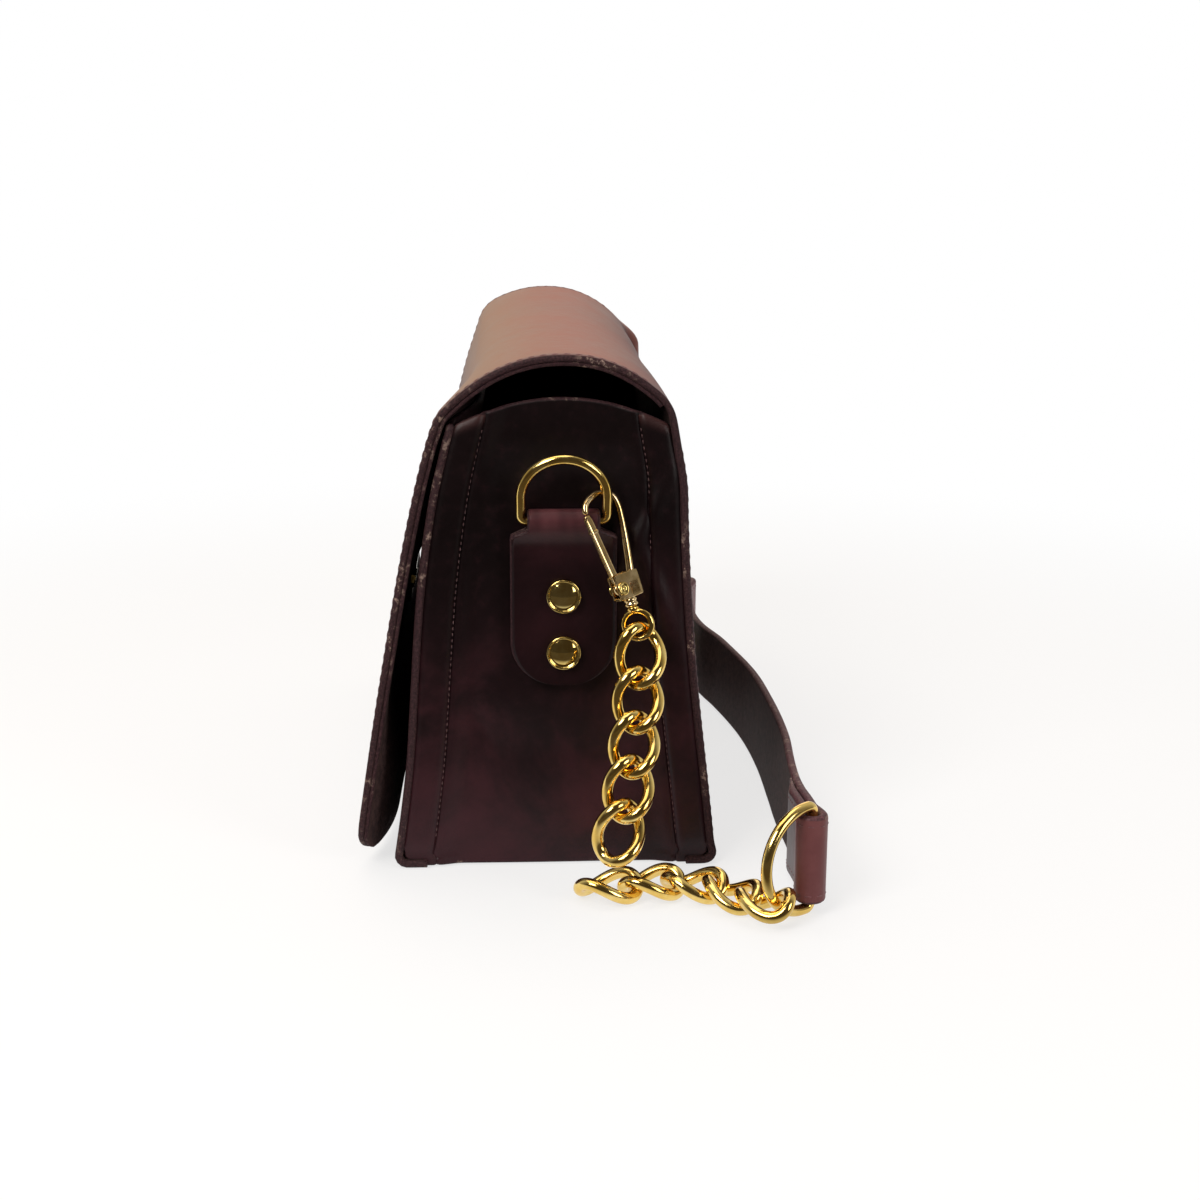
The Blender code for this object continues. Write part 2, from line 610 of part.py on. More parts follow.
def rivets(side, brass):
    """Domed double cap rivets through the tab and the gusset, and the holes that they need."""
    word = "right" if side > 0 else "left"
    stack = GAP + 2 * TAB_THICKNESS + GAP + GAP
    radius, shank = RIVET_CAP / 2, RIVET_SHANK / 2
    inside = -GUSSET_THICKNESS - GAP
    profile = [
        (inside - RIVET_RIM - RIVET_DOME, 0),
        *[(inside - RIVET_RIM - RIVET_DOME * rise, radius * out) for rise, out in INNER_DOME_SHARES],
        (inside - RIVET_RIM, radius), (inside, radius), (inside, shank),
        (stack, shank), (stack, radius), (stack + RIVET_RIM, radius),
        *[(stack + RIVET_RIM + RIVET_DOME * rise, radius * out) for rise, out in DOME_SHARES],
        (stack + RIVET_RIM + RIVET_DOME, 0),
    ]
    cutters = []
    for height, place in zip(rivet_heights(), ("lower", "upper")):
        centre = np.array([side * GUSSET_OUTER_X, TAB_CENTRE_Y, height])
        way = np.array([side, 0, 0])
        solid(f"rivet_{place}_{word}", *turned(profile, centre, way, TURN_STEPS), brass)
        hole = shank + RIVET_HOLE_CLEARANCE
        start, end = inside - OVERRUN, stack + OVERRUN
        drill = [(start, 0), (start, hole), (end, hole), (end, 0)]
        cutters.append(solid(f"hole_{place}_{word}", *turned(drill, centre, way, SMALL_TURN_STEPS), brass))
    return cutters


def d_ring_path(inside, wire, depth, corner):
    """The D in its own plane: x along the bar from its middle, y towards the bow."""
    half = (inside + wire) / 2
    turn = np.linspace(0, pi, BOW_STEPS)
    bow = np.stack([half * np.cos(turn), depth - half + half * np.sin(turn)], axis=1)
    bend = np.linspace(0, pi / 2, CORNER_STEPS)
    left = np.stack([-half + corner - corner * np.cos(bend), corner - corner * np.sin(bend)], axis=1)
    right = np.stack([half - corner + corner * np.sin(bend), corner - corner * np.cos(bend)], axis=1)
    return np.vstack([bow, left, right])


def placed_path(path, origin, across, up):
    """Points of a flat path set into space."""
    across, up = np.asarray(across, float), np.asarray(up, float)
    return np.asarray(origin, float) + path[:, :1] * across + path[:, 1:] * up


def tab_ring(side, brass):
    name = "tab_ring_right" if side > 0 else "tab_ring_left"
    origin = np.array([side * ring_bar_x(), TAB_CENTRE_Y, RING_BAR_HEIGHT])
    up = np.array([side * sin(RING_LEAN), 0, cos(RING_LEAN)])
    path = d_ring_path(RING_INSIDE, RING_WIRE, RING_DEPTH, RING_CORNER)
    across = np.array([0, 1, 0])
    points = placed_path(path, origin, across, up)
    shape = tube(points, np.cross(across, up), RING_WIRE / 2, WIRE_SIDES, True)
    return solid(name, *shape, brass, origin)


def clasp_frame(side):
    """Origin and directions of a clasp: across it to its fixed bar, down it, and its face."""
    mirror = np.array([side, 1, 1])
    down = unit(CLASP_DOWN)
    face = unit(np.asarray(CLASP_FACE) - np.dot(CLASP_FACE, down) * down)
    across = np.cross(face, down)
    if across[1] < 0:
        across = -across
    top = ring_contact(1) + np.asarray(CLASP_SEAT)
    return top * mirror, across * mirror, down * mirror, face * mirror


def clasp_point(side, across, down, out=0.0):
    origin, right, along, face = clasp_frame(side)
    return origin + across * right + down * along + out * face


def block(centre, x_half, y_half, z_half):
    """A box from its centre and three half vectors."""
    signs = [(a, b, c) for c in (-1, 1) for a, b in ((-1, -1), (1, -1), (1, 1), (-1, 1))]
    points = [centre + a * x_half + b * y_half + c * z_half for a, b, c in signs]
    faces = [(0, 3, 2, 1), (4, 5, 6, 7), (0, 1, 5, 4), (1, 2, 6, 5), (2, 3, 7, 6), (3, 0, 4, 7)]
    return np.array(points), faces


def clasp(side, brass, steel):
    """Trigger clasp: the hook with its base and neck, its sprung gate, the gate's pin and
    the swivel eye under it."""
    word = "right" if side > 0 else "left"
    origin, right, down, face = clasp_frame(side)
    guides = np.array([(a * HOOK_HALF_WIDTH, b * HOOK_LENGTH) for a, b in HOOK_SHARES])
    curve = smooth_curve(guides, CURVE_STEPS)
    share = np.linspace(0, 1, len(curve))
    radius = (HOOK_BAR + (HOOK_WIRE - HOOK_BAR) * np.clip(share * 2, 0, 1)) / 2
    hook = tube(placed_path(curve, origin, right, down), face, radius, WIRE_SIDES, False)
    base_middle = HOOK_LENGTH + BASE_BLOCK_HEIGHT / 2
    fork = BASE_BLOCK_DEPTH / 2
    base = block(
        origin + base_middle * down, right * BASE_BLOCK_WIDTH / 2,
        down * BASE_BLOCK_HEIGHT / 2, face * fork,
    )
    neck_top = HOOK_LENGTH + BASE_BLOCK_HEIGHT
    neck_profile = [
        (-BASE_BLOCK_HEIGHT / 2, 0), (-BASE_BLOCK_HEIGHT / 2, NECK_DIAMETER / 2),
        (NECK_HEIGHT, NECK_DIAMETER / 2), (NECK_HEIGHT, 0),
    ]
    neck = turned(neck_profile, origin + neck_top * down, down, SMALL_TURN_STEPS)
    hinge = ring_contact(side)
    made = fused(f"clasp_hook_{word}", [hook, base, neck], brass, hinge)
    # The gate turns in a slot of the base, on its own side of the hook.
    pivot = gate_pivot()
    slot_half = GATE_THICKNESS / 2 + GATE_SLOT
    slot_width = BASE_BLOCK_WIDTH / 2 + pivot[0] + GATE_EYE + GATE_SLOT
    slot_centre = origin + (-BASE_BLOCK_WIDTH / 2 - OVERRUN + (slot_width + OVERRUN) / 2) * right
    slot_depth = pivot[1] - HOOK_LENGTH + GATE_EYE + GATE_SLOT
    slot = block(
        slot_centre + (HOOK_LENGTH + slot_depth / 2 - OVERRUN / 2) * down,
        right * (slot_width + OVERRUN) / 2, down * (slot_depth + OVERRUN) / 2, face * slot_half,
    )
    cut(made, solid(f"gate_slot_{word}", *slot, brass))
    hole = PIN_DIAMETER / 2 + GAP
    pin_hole = turned(
        [(-OVERRUN, 0), (-OVERRUN, hole), (OVERRUN, hole), (OVERRUN, 0)],
        clasp_point(side, *pivot), face, SMALL_TURN_STEPS,
    )
    cut(made, solid(f"pin_hole_{word}", *pin_hole, brass))
    gate(word, side, brass, pivot)
    pin_half = fork + GAP
    head = PIN_HEAD / 2
    pin = [
        (-pin_half - PIN_HEAD_HEIGHT, 0), (-pin_half - PIN_HEAD_HEIGHT, head), (-pin_half, head),
        (-pin_half, PIN_DIAMETER / 2), (pin_half, PIN_DIAMETER / 2), (pin_half, head),
        (pin_half + PIN_HEAD_HEIGHT, head), (pin_half + PIN_HEAD_HEIGHT, 0),
    ]
    shape = turned(pin, clasp_point(side, *pivot), face, SMALL_TURN_STEPS)
    solid(f"clasp_pin_{word}", *shape, steel, hinge)
    swivel(word, side, brass, neck_top)


def eye_middle():
    """How far down the clasp the middle of its swivel eye lies."""
    return HOOK_LENGTH + BASE_BLOCK_HEIGHT + NECK_HEIGHT + GAP + SWIVEL_HEIGHT / 2 + SWIVEL_SINK


def gate_pivot():
    """Where the gate's pin goes through the base: across and down the clasp."""
    return GATE_SHARES[1][0] * HOOK_HALF_WIDTH, HOOK_LENGTH + GATE_EYE


def gate(word, side, brass, pivot):
    """A sprung bar from the pin up to the hook's nose, with an eye round the pin."""
    nose = np.array([GATE_SHARES[0][0] * HOOK_HALF_WIDTH, GATE_SHARES[0][1] * HOOK_LENGTH])
    start = clasp_point(side, *pivot)
    end = clasp_point(side, *nose)
    face = clasp_frame(side)[3]
    bar_way = unit(end - start)
    eye = PIN_DIAMETER / 2 + GAP
    outer = GATE_EYE
    turn = np.arange(SMALL_TURN_STEPS) / SMALL_TURN_STEPS * 2 * pi
    cross = np.cross(face, bar_way)
    half = face * GATE_THICKNESS / 2
    rings = []
    for radius, thickness in ((eye, -half), (outer, -half), (outer, half), (eye, half)):
        rings.append(
            start + thickness + radius * (np.cos(turn)[:, None] * bar_way + np.sin(turn)[:, None] * cross)
        )
    eye_points = np.vstack(rings)
    eye_faces = grid_faces(len(rings), SMALL_TURN_STEPS, True, True)
    stem_start = start + bar_way * (outer - GATE_ROOT)
    length = np.linalg.norm(end - stem_start)
    stem = block(
        stem_start + bar_way * length / 2, bar_way * length / 2,
        cross * GATE_THICKNESS / 2 * GATE_WIDTH_SHARE, half * GATE_DEPTH_SHARE,
    )
    return fused(f"clasp_gate_{word}", [(eye_points, eye_faces), stem], brass, start)


def swivel(word, side, brass, neck_top):
    """The eye that turns under the clasp's neck."""
    origin, right, down, face = clasp_frame(side)
    half_wire = SWIVEL_WIRE / 2
    turn = np.arange(EYE_STEPS) / EYE_STEPS * 2 * pi
    middle = eye_middle()
    eye = np.stack([
        (SWIVEL_WIDTH / 2 - half_wire) * np.sin(turn),
        middle - (SWIVEL_HEIGHT / 2 - half_wire) * np.cos(turn),
    ], axis=1)
    eye_across = cos(SWIVEL_TURN) * right + sin(SWIVEL_TURN) * face
    path = placed_path(eye, origin, eye_across, down)
    ring = tube(path, np.cross(eye_across, down), half_wire, LINK_SIDES, True)
    stem_top = neck_top + NECK_HEIGHT + GAP
    collar = turned([
        (0, 0), (0, SWIVEL_HEAD / 2), (SWIVEL_HEAD_HEIGHT, SWIVEL_HEAD / 2),
        (SWIVEL_HEAD_HEIGHT + half_wire, half_wire * SWIVEL_TIP_SHARE), (SWIVEL_HEAD_HEIGHT + half_wire, 0),
    ], origin + stem_top * down, down, SMALL_TURN_STEPS)
    return fused(f"clasp_swivel_{word}", [ring, collar], brass, origin + stem_top * down)


def ring_contact(side):
    """Where a clasp's hook hangs on the leg of its D-ring: the clasp swings about X here."""
    half = (RING_INSIDE + RING_WIRE) / 2
    rise = RING_DEPTH - half
    return np.array([
        side * (ring_bar_x() + rise * sin(RING_LEAN)), TAB_CENTRE_Y + half,
        RING_BAR_HEIGHT + rise * cos(RING_LEAN),
    ])


def contacts_along(route, count):
    """Points one link pitch apart along a smooth way, where neighbouring links touch."""
    curve = smooth_curve(route, ROUTE_STEPS)
    found = [curve[0]]
    place = 0
    while len(found) <= count and place < len(curve) - 1:
        ahead = np.linalg.norm(curve[place:] - found[-1], axis=1) >= LINK_PITCH
        if not ahead.any():
            way = unit(curve[-1] - curve[-2])
            found.append(found[-1] + way * LINK_PITCH)
            continue
        step = place + int(np.argmax(ahead))
        a, b = curve[step - 1], curve[step]
        low, high = 0.0, 1.0
        for _ in range(HALVINGS):
            mid = (low + high) / 2
            if np.linalg.norm(a + (b - a) * mid - found[-1]) < LINK_PITCH:
                low = mid
            else:
                high = mid
        found.append(a + (b - a) * high)
        place = step
    return np.array(found[: count + 1])


def link_centre_line(start, end, up, hand):
    """A curb link between two touching points: an oval whose width turns about its length,
    by the twist at its ends and not at all in its middle."""
    centre = (start + end) / 2
    along = unit(end - start)
    across = unit(np.cross(up, along))
    over = np.cross(along, across)
    turn = np.arange(LINK_STEPS) / LINK_STEPS * 2 * pi
    length = LINK_HALF_LENGTH * np.cos(turn)
    width = LINK_HALF_WIDTH * np.sin(turn) * (1 + LINK_SHOULDER_SHARE * np.cos(turn) ** 2)
    twist = hand * LINK_TWIST * np.cos(turn)
    return (
        centre + length[:, None] * along + (width * np.cos(twist))[:, None] * across
        + (width * np.sin(twist))[:, None] * over
    )


def link_shape(start, end, up, hand):
    line = link_centre_line(start, end, up, hand)
    centre = (start + end) / 2
    outwards = line - centre
    outwards /= np.linalg.norm(outwards, axis=1)[:, None]
    return tube(line, outwards, LINK_WIRE / 2, LINK_SIDES, True)


def hanging_contacts(side):
    """Where the hanging links touch each other, from the swivel's eye down."""
    origin, _, down, _ = clasp_frame(1)
    catch = eye_middle() + SWIVEL_HEIGHT / 2 - SWIVEL_WIRE - LINK_PLAY / 2
    route = origin + catch * down + np.asarray(HANGING_ROUTE)
    return contacts_along(route, HANGING_LINKS) * np.array([side, 1, 1])


def hanging_chain(side, brass):
    word = "right" if side > 0 else "left"
    contacts = hanging_contacts(side)
    for number in range(HANGING_LINKS):
        start, end = contacts[number], contacts[number + 1]
        shape = link_shape(start, end, np.array([side, 0, 0]), side)
        solid(f"hanging_link_{number + 1}_{word}", *shape, brass, start)


def floor_contacts(side):
    """Where the links on the floor touch each other, one more point than links."""
    points = [np.array([*FLOOR_START, LINK_REST])]
    for number, heading in enumerate(FLOOR_HEADINGS):
        climb = FLOOR_CLIMB if number == len(FLOOR_HEADINGS) - 1 else 0
        way = np.array([cos(heading) * cos(climb), sin(heading) * cos(climb), sin(climb)])
        points.append(points[-1] + LINK_PITCH * way)
    inset = FAR_CHAIN_INSET if side < 0 else 0
    return np.array(points) * np.array([side, 1, 1]) - np.array([0, inset, 0])


def floor_chain(side, brass):
    word = "right" if side > 0 else "left"
    contacts = floor_contacts(side)
    for number, (start, end) in enumerate(zip(contacts, contacts[1:])):
        shape = link_shape(start, end, np.array([0, 0, 1]), side)
        solid(f"floor_link_{number + 1}_{word}", *shape, brass)


def strap_ring_place(side):
    """The ring's bar, from where the chain's last link catches its bow, and its way out."""
    contacts = floor_contacts(side)
    along = unit(contacts[-1] - contacts[-2])
    caught = contacts[-1] - along * (STRAP_RING_WIRE + LINK_PLAY) / 2
    out = side * unit([along[1], -along[0]])
    half = (STRAP_RING_INSIDE + STRAP_RING_WIRE) / 2
    reach = STRAP_RING_DEPTH - half + half * cos(STRAP_RING_CATCH)
    return caught[:2] - reach * out, out


def strap_ring(side, brass):
    """A D-ring that stands on the floor with its bar upright in the strap's folded end."""
    word = "right" if side > 0 else "left"
    bar, way = strap_ring_place(side)
    half = (STRAP_RING_INSIDE + STRAP_RING_WIRE) / 2
    origin = np.array([*bar, half + STRAP_RING_WIRE / 2])
    out = np.array([*way, 0])
    up = np.array([0, 0, 1])
    path = d_ring_path(STRAP_RING_INSIDE, STRAP_RING_WIRE, STRAP_RING_DEPTH, RING_CORNER)
    points = placed_path(path, origin, up, out)
    shape = tube(points, np.cross(up, out), STRAP_RING_WIRE / 2, WIRE_SIDES, True)
    return solid(f"strap_ring_{word}", *shape, brass)


def strap(leather):
    """The strap stands on its edge. Each end is folded round its ring's bar and lies back
    along the inner side."""
    half = STRAP_THICKNESS / 2
    loop = STRAP_RING_WIRE / 2 + GAP + half
    ends = [strap_ring_place(side)[0] for side in (-1, 1)]
    route = [
        (out * BODY_HALF_LENGTH, BASE_HALF_DEPTH + behind * STRAP_BEHIND)
        for out, behind in STRAP_ROUTE_SHARES
    ]
    middle = smooth_curve([ends[0], *route, ends[1]], STRAP_STEPS)
    along = lengths_along(middle)
    total = along[-1]
    left = normals_2d(middle)
    from_end = np.minimum(along, total - along)
    close = (STRAP_THICKNESS + GAP) / 2

    def spread(distance):
        share = np.clip(distance / STRAP_TAPER, 0, 1)
        return close + (loop - close) * (1 + np.cos(pi * share)) / 2

    main = middle + left * spread(from_end)[:, None]
    plan = []
    for end in (0, 1):
        points = middle if end == 0 else middle[::-1]
        sides = left if end == 0 else left[::-1]
        reach = lengths_along(points)
        near = np.linspace(0, STRAP_TAPER, TAPER_STEPS)
        stops = np.concatenate([near, np.linspace(STRAP_TAPER, STRAP_LAP, TAPER_STEPS)[1:]])
        base = np.stack([np.interp(stops, reach, points[:, k]) for k in (0, 1)], axis=1)
        offs = np.stack([np.interp(stops, reach, sides[:, k]) for k in (0, 1)], axis=1)
        lap = base - offs * spread(stops)[:, None]
        outward = unit(points[0] - points[1])
        turn = np.linspace(-pi / 2, pi / 2, FOLD_STEPS)[1:-1]
        bend = points[0] + loop * (np.cos(turn)[:, None] * outward + np.sin(turn)[:, None] * sides[0])
        plan.append(np.vstack([lap[::-1], bend]))
    inner_main = main[(from_end > STRAP_TAPER / 3) | (from_end == 0)]
    line = np.vstack([plan[0], inner_main, plan[1][::-1]])
    spacing = np.concatenate([[1], np.linalg.norm(np.diff(line, axis=0), axis=1)])
    line = line[spacing > GAP]
    nearest = np.array([np.argmin(np.linalg.norm(middle - point, axis=1)) for point in line])
    lift = STRAP_RING_WIRE + (STRAP_RING_INSIDE - STRAP_WIDTH) / 2
    share = np.clip(from_end[nearest] / STRAP_LIFT_LENGTH, 0, 1)
    height = lift * (1 + np.cos(pi * share)) / 2 + STRAP_WIDTH / 2
    centres = np.column_stack([line, height])
    thick = np.column_stack([normals_2d(line) * half, np.zeros(len(line))])
    wide = np.tile([0, 0, STRAP_WIDTH / 2], (len(line), 1))
    solid("strap", *ribbon(centres, thick, wide), leather)


def main():
    for thing in list(bpy.data.objects):
        bpy.data.objects.remove(thing, do_unlink=True)
    leather = material("burgundy_leather", (0.055, 0.012, 0.018), 0.45, 0)
    suede = material("dark_suede", (0.030, 0.022, 0.022), 0.9, 0)
    brass = material("polished_gold", (0.80, 0.53, 0.13), 0.16, 1)
    steel = material("pin_metal", (0.72, 0.50, 0.16), 0.25, 1)

    body_panels(leather)
    flap(leather, suede)
    snap(brass)
    for side in (1, -1):
        end_panel = gusset(side, leather)
        strip = tab(side, leather)
        for drill in rivets(side, brass):
            cut(end_panel, drill)
            cut(strip, drill)
        tab_ring(side, brass)
        clasp(side, brass, steel)
        hanging_chain(side, brass)
        floor_chain(side, brass)
        strap_ring(side, brass)
    strap(leather)


main()
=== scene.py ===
import json
from math import cos, pi, radians, sin

import bpy
import numpy as np
from mathutils import Matrix, Vector


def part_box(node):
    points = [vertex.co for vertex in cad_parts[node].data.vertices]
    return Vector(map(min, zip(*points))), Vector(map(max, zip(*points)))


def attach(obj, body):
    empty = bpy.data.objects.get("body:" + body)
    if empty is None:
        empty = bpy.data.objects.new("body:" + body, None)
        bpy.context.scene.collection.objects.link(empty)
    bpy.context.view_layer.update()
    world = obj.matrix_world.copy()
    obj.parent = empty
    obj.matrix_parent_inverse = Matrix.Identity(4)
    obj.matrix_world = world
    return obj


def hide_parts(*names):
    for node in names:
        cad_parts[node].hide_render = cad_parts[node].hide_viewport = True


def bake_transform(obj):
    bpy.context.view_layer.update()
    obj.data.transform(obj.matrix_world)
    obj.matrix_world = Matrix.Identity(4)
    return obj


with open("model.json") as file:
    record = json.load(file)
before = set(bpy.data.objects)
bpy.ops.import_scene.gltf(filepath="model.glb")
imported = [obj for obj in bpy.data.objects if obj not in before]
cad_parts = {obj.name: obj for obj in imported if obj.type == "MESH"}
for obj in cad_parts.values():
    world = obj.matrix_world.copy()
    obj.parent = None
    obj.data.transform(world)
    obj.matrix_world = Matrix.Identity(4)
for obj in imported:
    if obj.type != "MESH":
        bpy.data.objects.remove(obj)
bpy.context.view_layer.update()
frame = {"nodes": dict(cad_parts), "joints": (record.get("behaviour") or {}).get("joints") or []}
print("frame loaded")

mm = 0.001
joints = {joint["name"]: joint for joint in frame["joints"]}
rightAndLeft = ((1, "right"), (-1, "left"))


# Camera, first because the framing decides what has to be fine
camera = {
    "place": (681.3 * mm, -15.0 * mm, 233.1 * mm),
    "yaw": radians(-2.86),      # turn of the view round +Z, seen from the bag's right hand end
    "pitch": radians(14.24),    # how far it looks down
    "roll": radians(0.26),
    "focal": 57.25,
    "sensor": 36.0,
}


def makeCamera(c):
    data = bpy.data.cameras.new("camera")
    data.lens, data.sensor_width, data.clip_start = c["focal"], c["sensor"], 5 * mm
    back = Vector((cos(c["yaw"]) * cos(c["pitch"]), sin(c["yaw"]) * cos(c["pitch"]), sin(c["pitch"])))
    right = Vector((0, 0, 1)).cross(back).normalized()
    up = back.cross(right)
    turnedRight = cos(c["roll"]) * right + sin(c["roll"]) * up
    turnedUp = cos(c["roll"]) * up - sin(c["roll"]) * right
    made = bpy.data.objects.new("camera", data)
    made.matrix_world = Matrix.Translation(c["place"]) @ Matrix((turnedRight, turnedUp, back)).transposed().to_4x4()
    bpy.context.scene.collection.objects.link(made)
    bpy.context.scene.camera = made


makeCamera(camera)
print("camera placed")


# Shader maths: a Sock is a socket that can be used in sums
class Sock:
    def __init__(self, shade, socket):
        self.shade, self.socket = shade, socket

    def maths(self, operation, *values):
        return self.shade.add("ShaderNodeMath", {"operation": operation}, list(values))

    def __add__(self, other): return self.maths("ADD", self, other)
    def __radd__(self, other): return self.maths("ADD", other, self)
    def __sub__(self, other): return self.maths("SUBTRACT", self, other)
    def __rsub__(self, other): return self.maths("SUBTRACT", other, self)
    def __mul__(self, other): return self.maths("MULTIPLY", self, other)
    def __rmul__(self, other): return self.maths("MULTIPLY", other, self)

    def limited(self, low=0.0, high=1.0):
        return self.shade.add("ShaderNodeClamp", {}, {"Value": self, "Min": low, "Max": high})

    def between(self, low, high):
        values = {"Value": self, "From Min": low, "From Max": high}
        return self.shade.add("ShaderNodeMapRange", {"interpolation_type": "SMOOTHSTEP"}, values)


# A material, or the world, under construction
class Shade:
    def __init__(self, name, world=None):
        self.material = world or bpy.data.materials.new(name)
        self.material.use_nodes = True
        self.tree = self.material.node_tree
        self.shader = self.tree.nodes.get("Principled BSDF")

    def add(self, kind, settings, values, output=0):
        node = self.tree.nodes.new(kind)
        for key, value in settings.items():
            setattr(node, key, value)
        pairs = values.items() if isinstance(values, dict) else enumerate(values)
        for key, value in pairs:
            self.put(node.inputs[key], value)
        return Sock(self, node.outputs[output])

    def put(self, socket, value):
        if isinstance(value, Sock):
            self.tree.links.new(value.socket, socket)
        elif isinstance(value, (tuple, list)) and len(value) == 3 and socket.type == "RGBA":
            socket.default_value = (*value, 1)
        else:
            socket.default_value = value

    def objectPlace(self):
        return self.add("ShaderNodeTexCoord", {}, {}, "Object")

    def attribute(self, name):
        return self.add("ShaderNodeAttribute", {"attribute_name": name}, {}, "Fac")

    def noise(self, place, scale, detail=3.0, rough=0.5, distortion=0.0):
        values = {"Vector": place, "Scale": scale, "Detail": detail, "Roughness": rough, "Distortion": distortion}
        return self.add("ShaderNodeTexNoise", {}, values, "Fac")

    def cells(self, place, scale):
        return self.add("ShaderNodeTexVoronoi", {}, {"Vector": place, "Scale": scale}, "Distance")

    def mix(self, share, first, second):
        return self.add("ShaderNodeMix", {"data_type": "RGBA"}, {0: share, 6: first, 7: second}, 2)

    def stretched(self, place, scale):
        return self.add("ShaderNodeMapping", {}, {"Vector": place, "Scale": scale})

    def part(self, place, axis):
        return self.add("ShaderNodeSeparateXYZ", {}, {0: place}, axis)

    def bump(self, height, distance, strength=1.0, under=None):
        values = {"Height": height, "Distance": distance, "Strength": strength}
        if under is not None:
            values["Normal"] = under
        return self.add("ShaderNodeBump", {}, values)

    def finish(self, **values):
        for key, value in values.items():
            self.put(self.shader.inputs[key.replace("_", " ")], value)
        return self.material


# Leather
leather = {
    "deep": (0.0100, 0.0030, 0.0042),
    "warm": (0.0380, 0.0085, 0.0128),
    "rubbed": (0.1500, 0.0560, 0.0520),    # where it bends and rubs
    "chip": (0.3000, 0.2100, 0.1700),      # raw specks on a cut edge
    "edge": (0.0190, 0.0075, 0.0095),
    "edgePale": (0.0620, 0.0260, 0.0290),
    "flesh": (0.0660, 0.0350, 0.0330),     # the unfinished back
    "fleshDark": (0.0190, 0.0100, 0.0105),
    "specular": 0.20,
    "mottle": 24.0,      # patches per metre
    "grain": 900.0,      # pores per metre
    "grainDepth": 0.05 * mm,
    "creaseDepth": 0.25 * mm,
    "fuzzDepth": 0.14 * mm,
    "dark": (40 * mm, 122 * mm),    # painted shade: the end panels get darker between these heights, darkest at the top
    "darkest": 0.9,
    "darkShade": 0.22,
    "front": (12 * mm, -32 * mm),   # the pale colour, on the flap a painted sheen, turns to the front's tan painted sheen between these depths
    "fineShare": 0.30,              # fine clouds to pores
    "pullScale": (90, 260, 70),
    "clusterScale": 45,             # worn specks come in clusters of this many a metre
    "chipScale": 420,
    "fibreScale": 1500,
}


# Smooth dyed leather: two dyes in soft patches, with pores and fine pulls as relief. It is paler where it is rubbed; on
# the flap's top and left corner and the tabs' folds that pale colour is painted sheen and highlight, and the end panels
# can get painted shade.
# The piece's own values give its cut rim, its unfinished back, and its rubbed and painted sheen places.
def makeLeather(
    name, deep, warm, rubbed, roughness, wear=0.5, coat=0.05, withPaintedShade=False, redEdge=1.0, frontSheen=None,
):
    s = Shade(name)
    place = s.objectPlace()
    rim, inner, fold = s.attribute("rim"), s.attribute("inner"), s.attribute("fold")
    patches = s.noise(place, leather["mottle"], 5, 0.62, 0.4)
    fine = s.noise(place, leather["grain"] * leather["fineShare"], 4, 0.6)
    pores = s.cells(place, leather["grain"])
    pulls = s.noise(s.stretched(place, leather["pullScale"]), 1.0, 4, 0.6)
    colour = s.mix(patches.between(0.34, 0.68), deep, warm)
    # Painted shade: the end panels darken towards the top, standing in for the shade under the flap
    if withPaintedShade:
        dark = s.part(place, "Z").between(*leather["dark"]) * leather["darkest"]
        colour = s.mix(dark, colour, tuple(c * leather["darkShade"] for c in deep))
    colour = s.mix((fine.between(0.50, 0.82) * 0.22).limited(), colour, warm)
    # On the flap the front of the arch turns tan, a painted sheen
    if frontSheen:
        front = s.part(place, "Y") + 20 * mm * (patches - 0.5)
        rubbed = s.mix(front.between(*leather["front"]), rubbed, frontSheen)
    # Pale where the leather is rubbed; on the flap's top and left corner and the tabs' folds this pale colour is
    # painted sheen and highlight
    rubAndSheenMask = fold * (0.72 + 0.5 * (patches - 0.5) + 0.35 * (fine - 0.5))
    colour = s.mix(rubAndSheenMask.limited(), colour, rubbed)
    # Worn, paler spots where the cut edge rubs, in a few clusters
    cluster = s.noise(place, leather["clusterScale"], 2, 0.5).between(0.50, 0.62)
    chips = s.noise(place, leather["chipScale"], 5, 0.7).between(0.52, 0.66) * cluster
    colour = s.mix((rim.between(0.05, 0.6) * chips * wear).limited(), colour, leather["chip"])
    fibre = s.noise(place, leather["fibreScale"], 3, 0.7)
    tinted = [tuple(c * redEdge for c in leather[key]) for key in ("edge", "edgePale")]
    edge = s.mix(fibre.between(0.35, 0.75), *tinted)
    edge = s.mix((chips * wear).limited(), edge, leather["chip"])
    colour = s.mix(rim.between(0.55, 0.95), colour, edge)
    nap = s.noise(place, leather["chipScale"], 6, 0.75)
    colour = s.mix(inner, colour, s.mix(nap.between(0.3, 0.75), leather["flesh"], leather["fleshDark"]))
    rough = roughness + 0.16 * (patches - 0.5) + 0.25 * rim + 0.45 * inner + 0.10 * (fine - 0.5)
    grain = s.bump(pores, leather["grainDepth"], 0.55)
    creases = s.bump(pulls, leather["creaseDepth"], 0.32, grain)
    fuzz = s.bump(nap, leather["fuzzDepth"], inner * 0.8 + rim * 0.7, creases)
    return s.finish(
        Base_Color=colour, Roughness=rough.limited(0.2, 1.0), Normal=fuzz, Coat_Weight=coat,
        Coat_Roughness=0.30, Specular_IOR_Level=leather["specular"],
    )


plainDyes = leather["deep"], leather["warm"], leather["rubbed"]
# The end panels' leather carries painted shade towards the top
bodyLeather = makeLeather("bodyLeather", *plainDyes, 0.42, 0.9, withPaintedShade=True)
panelLeather = makeLeather("panelLeather", *plainDyes, 0.42, 0.9)
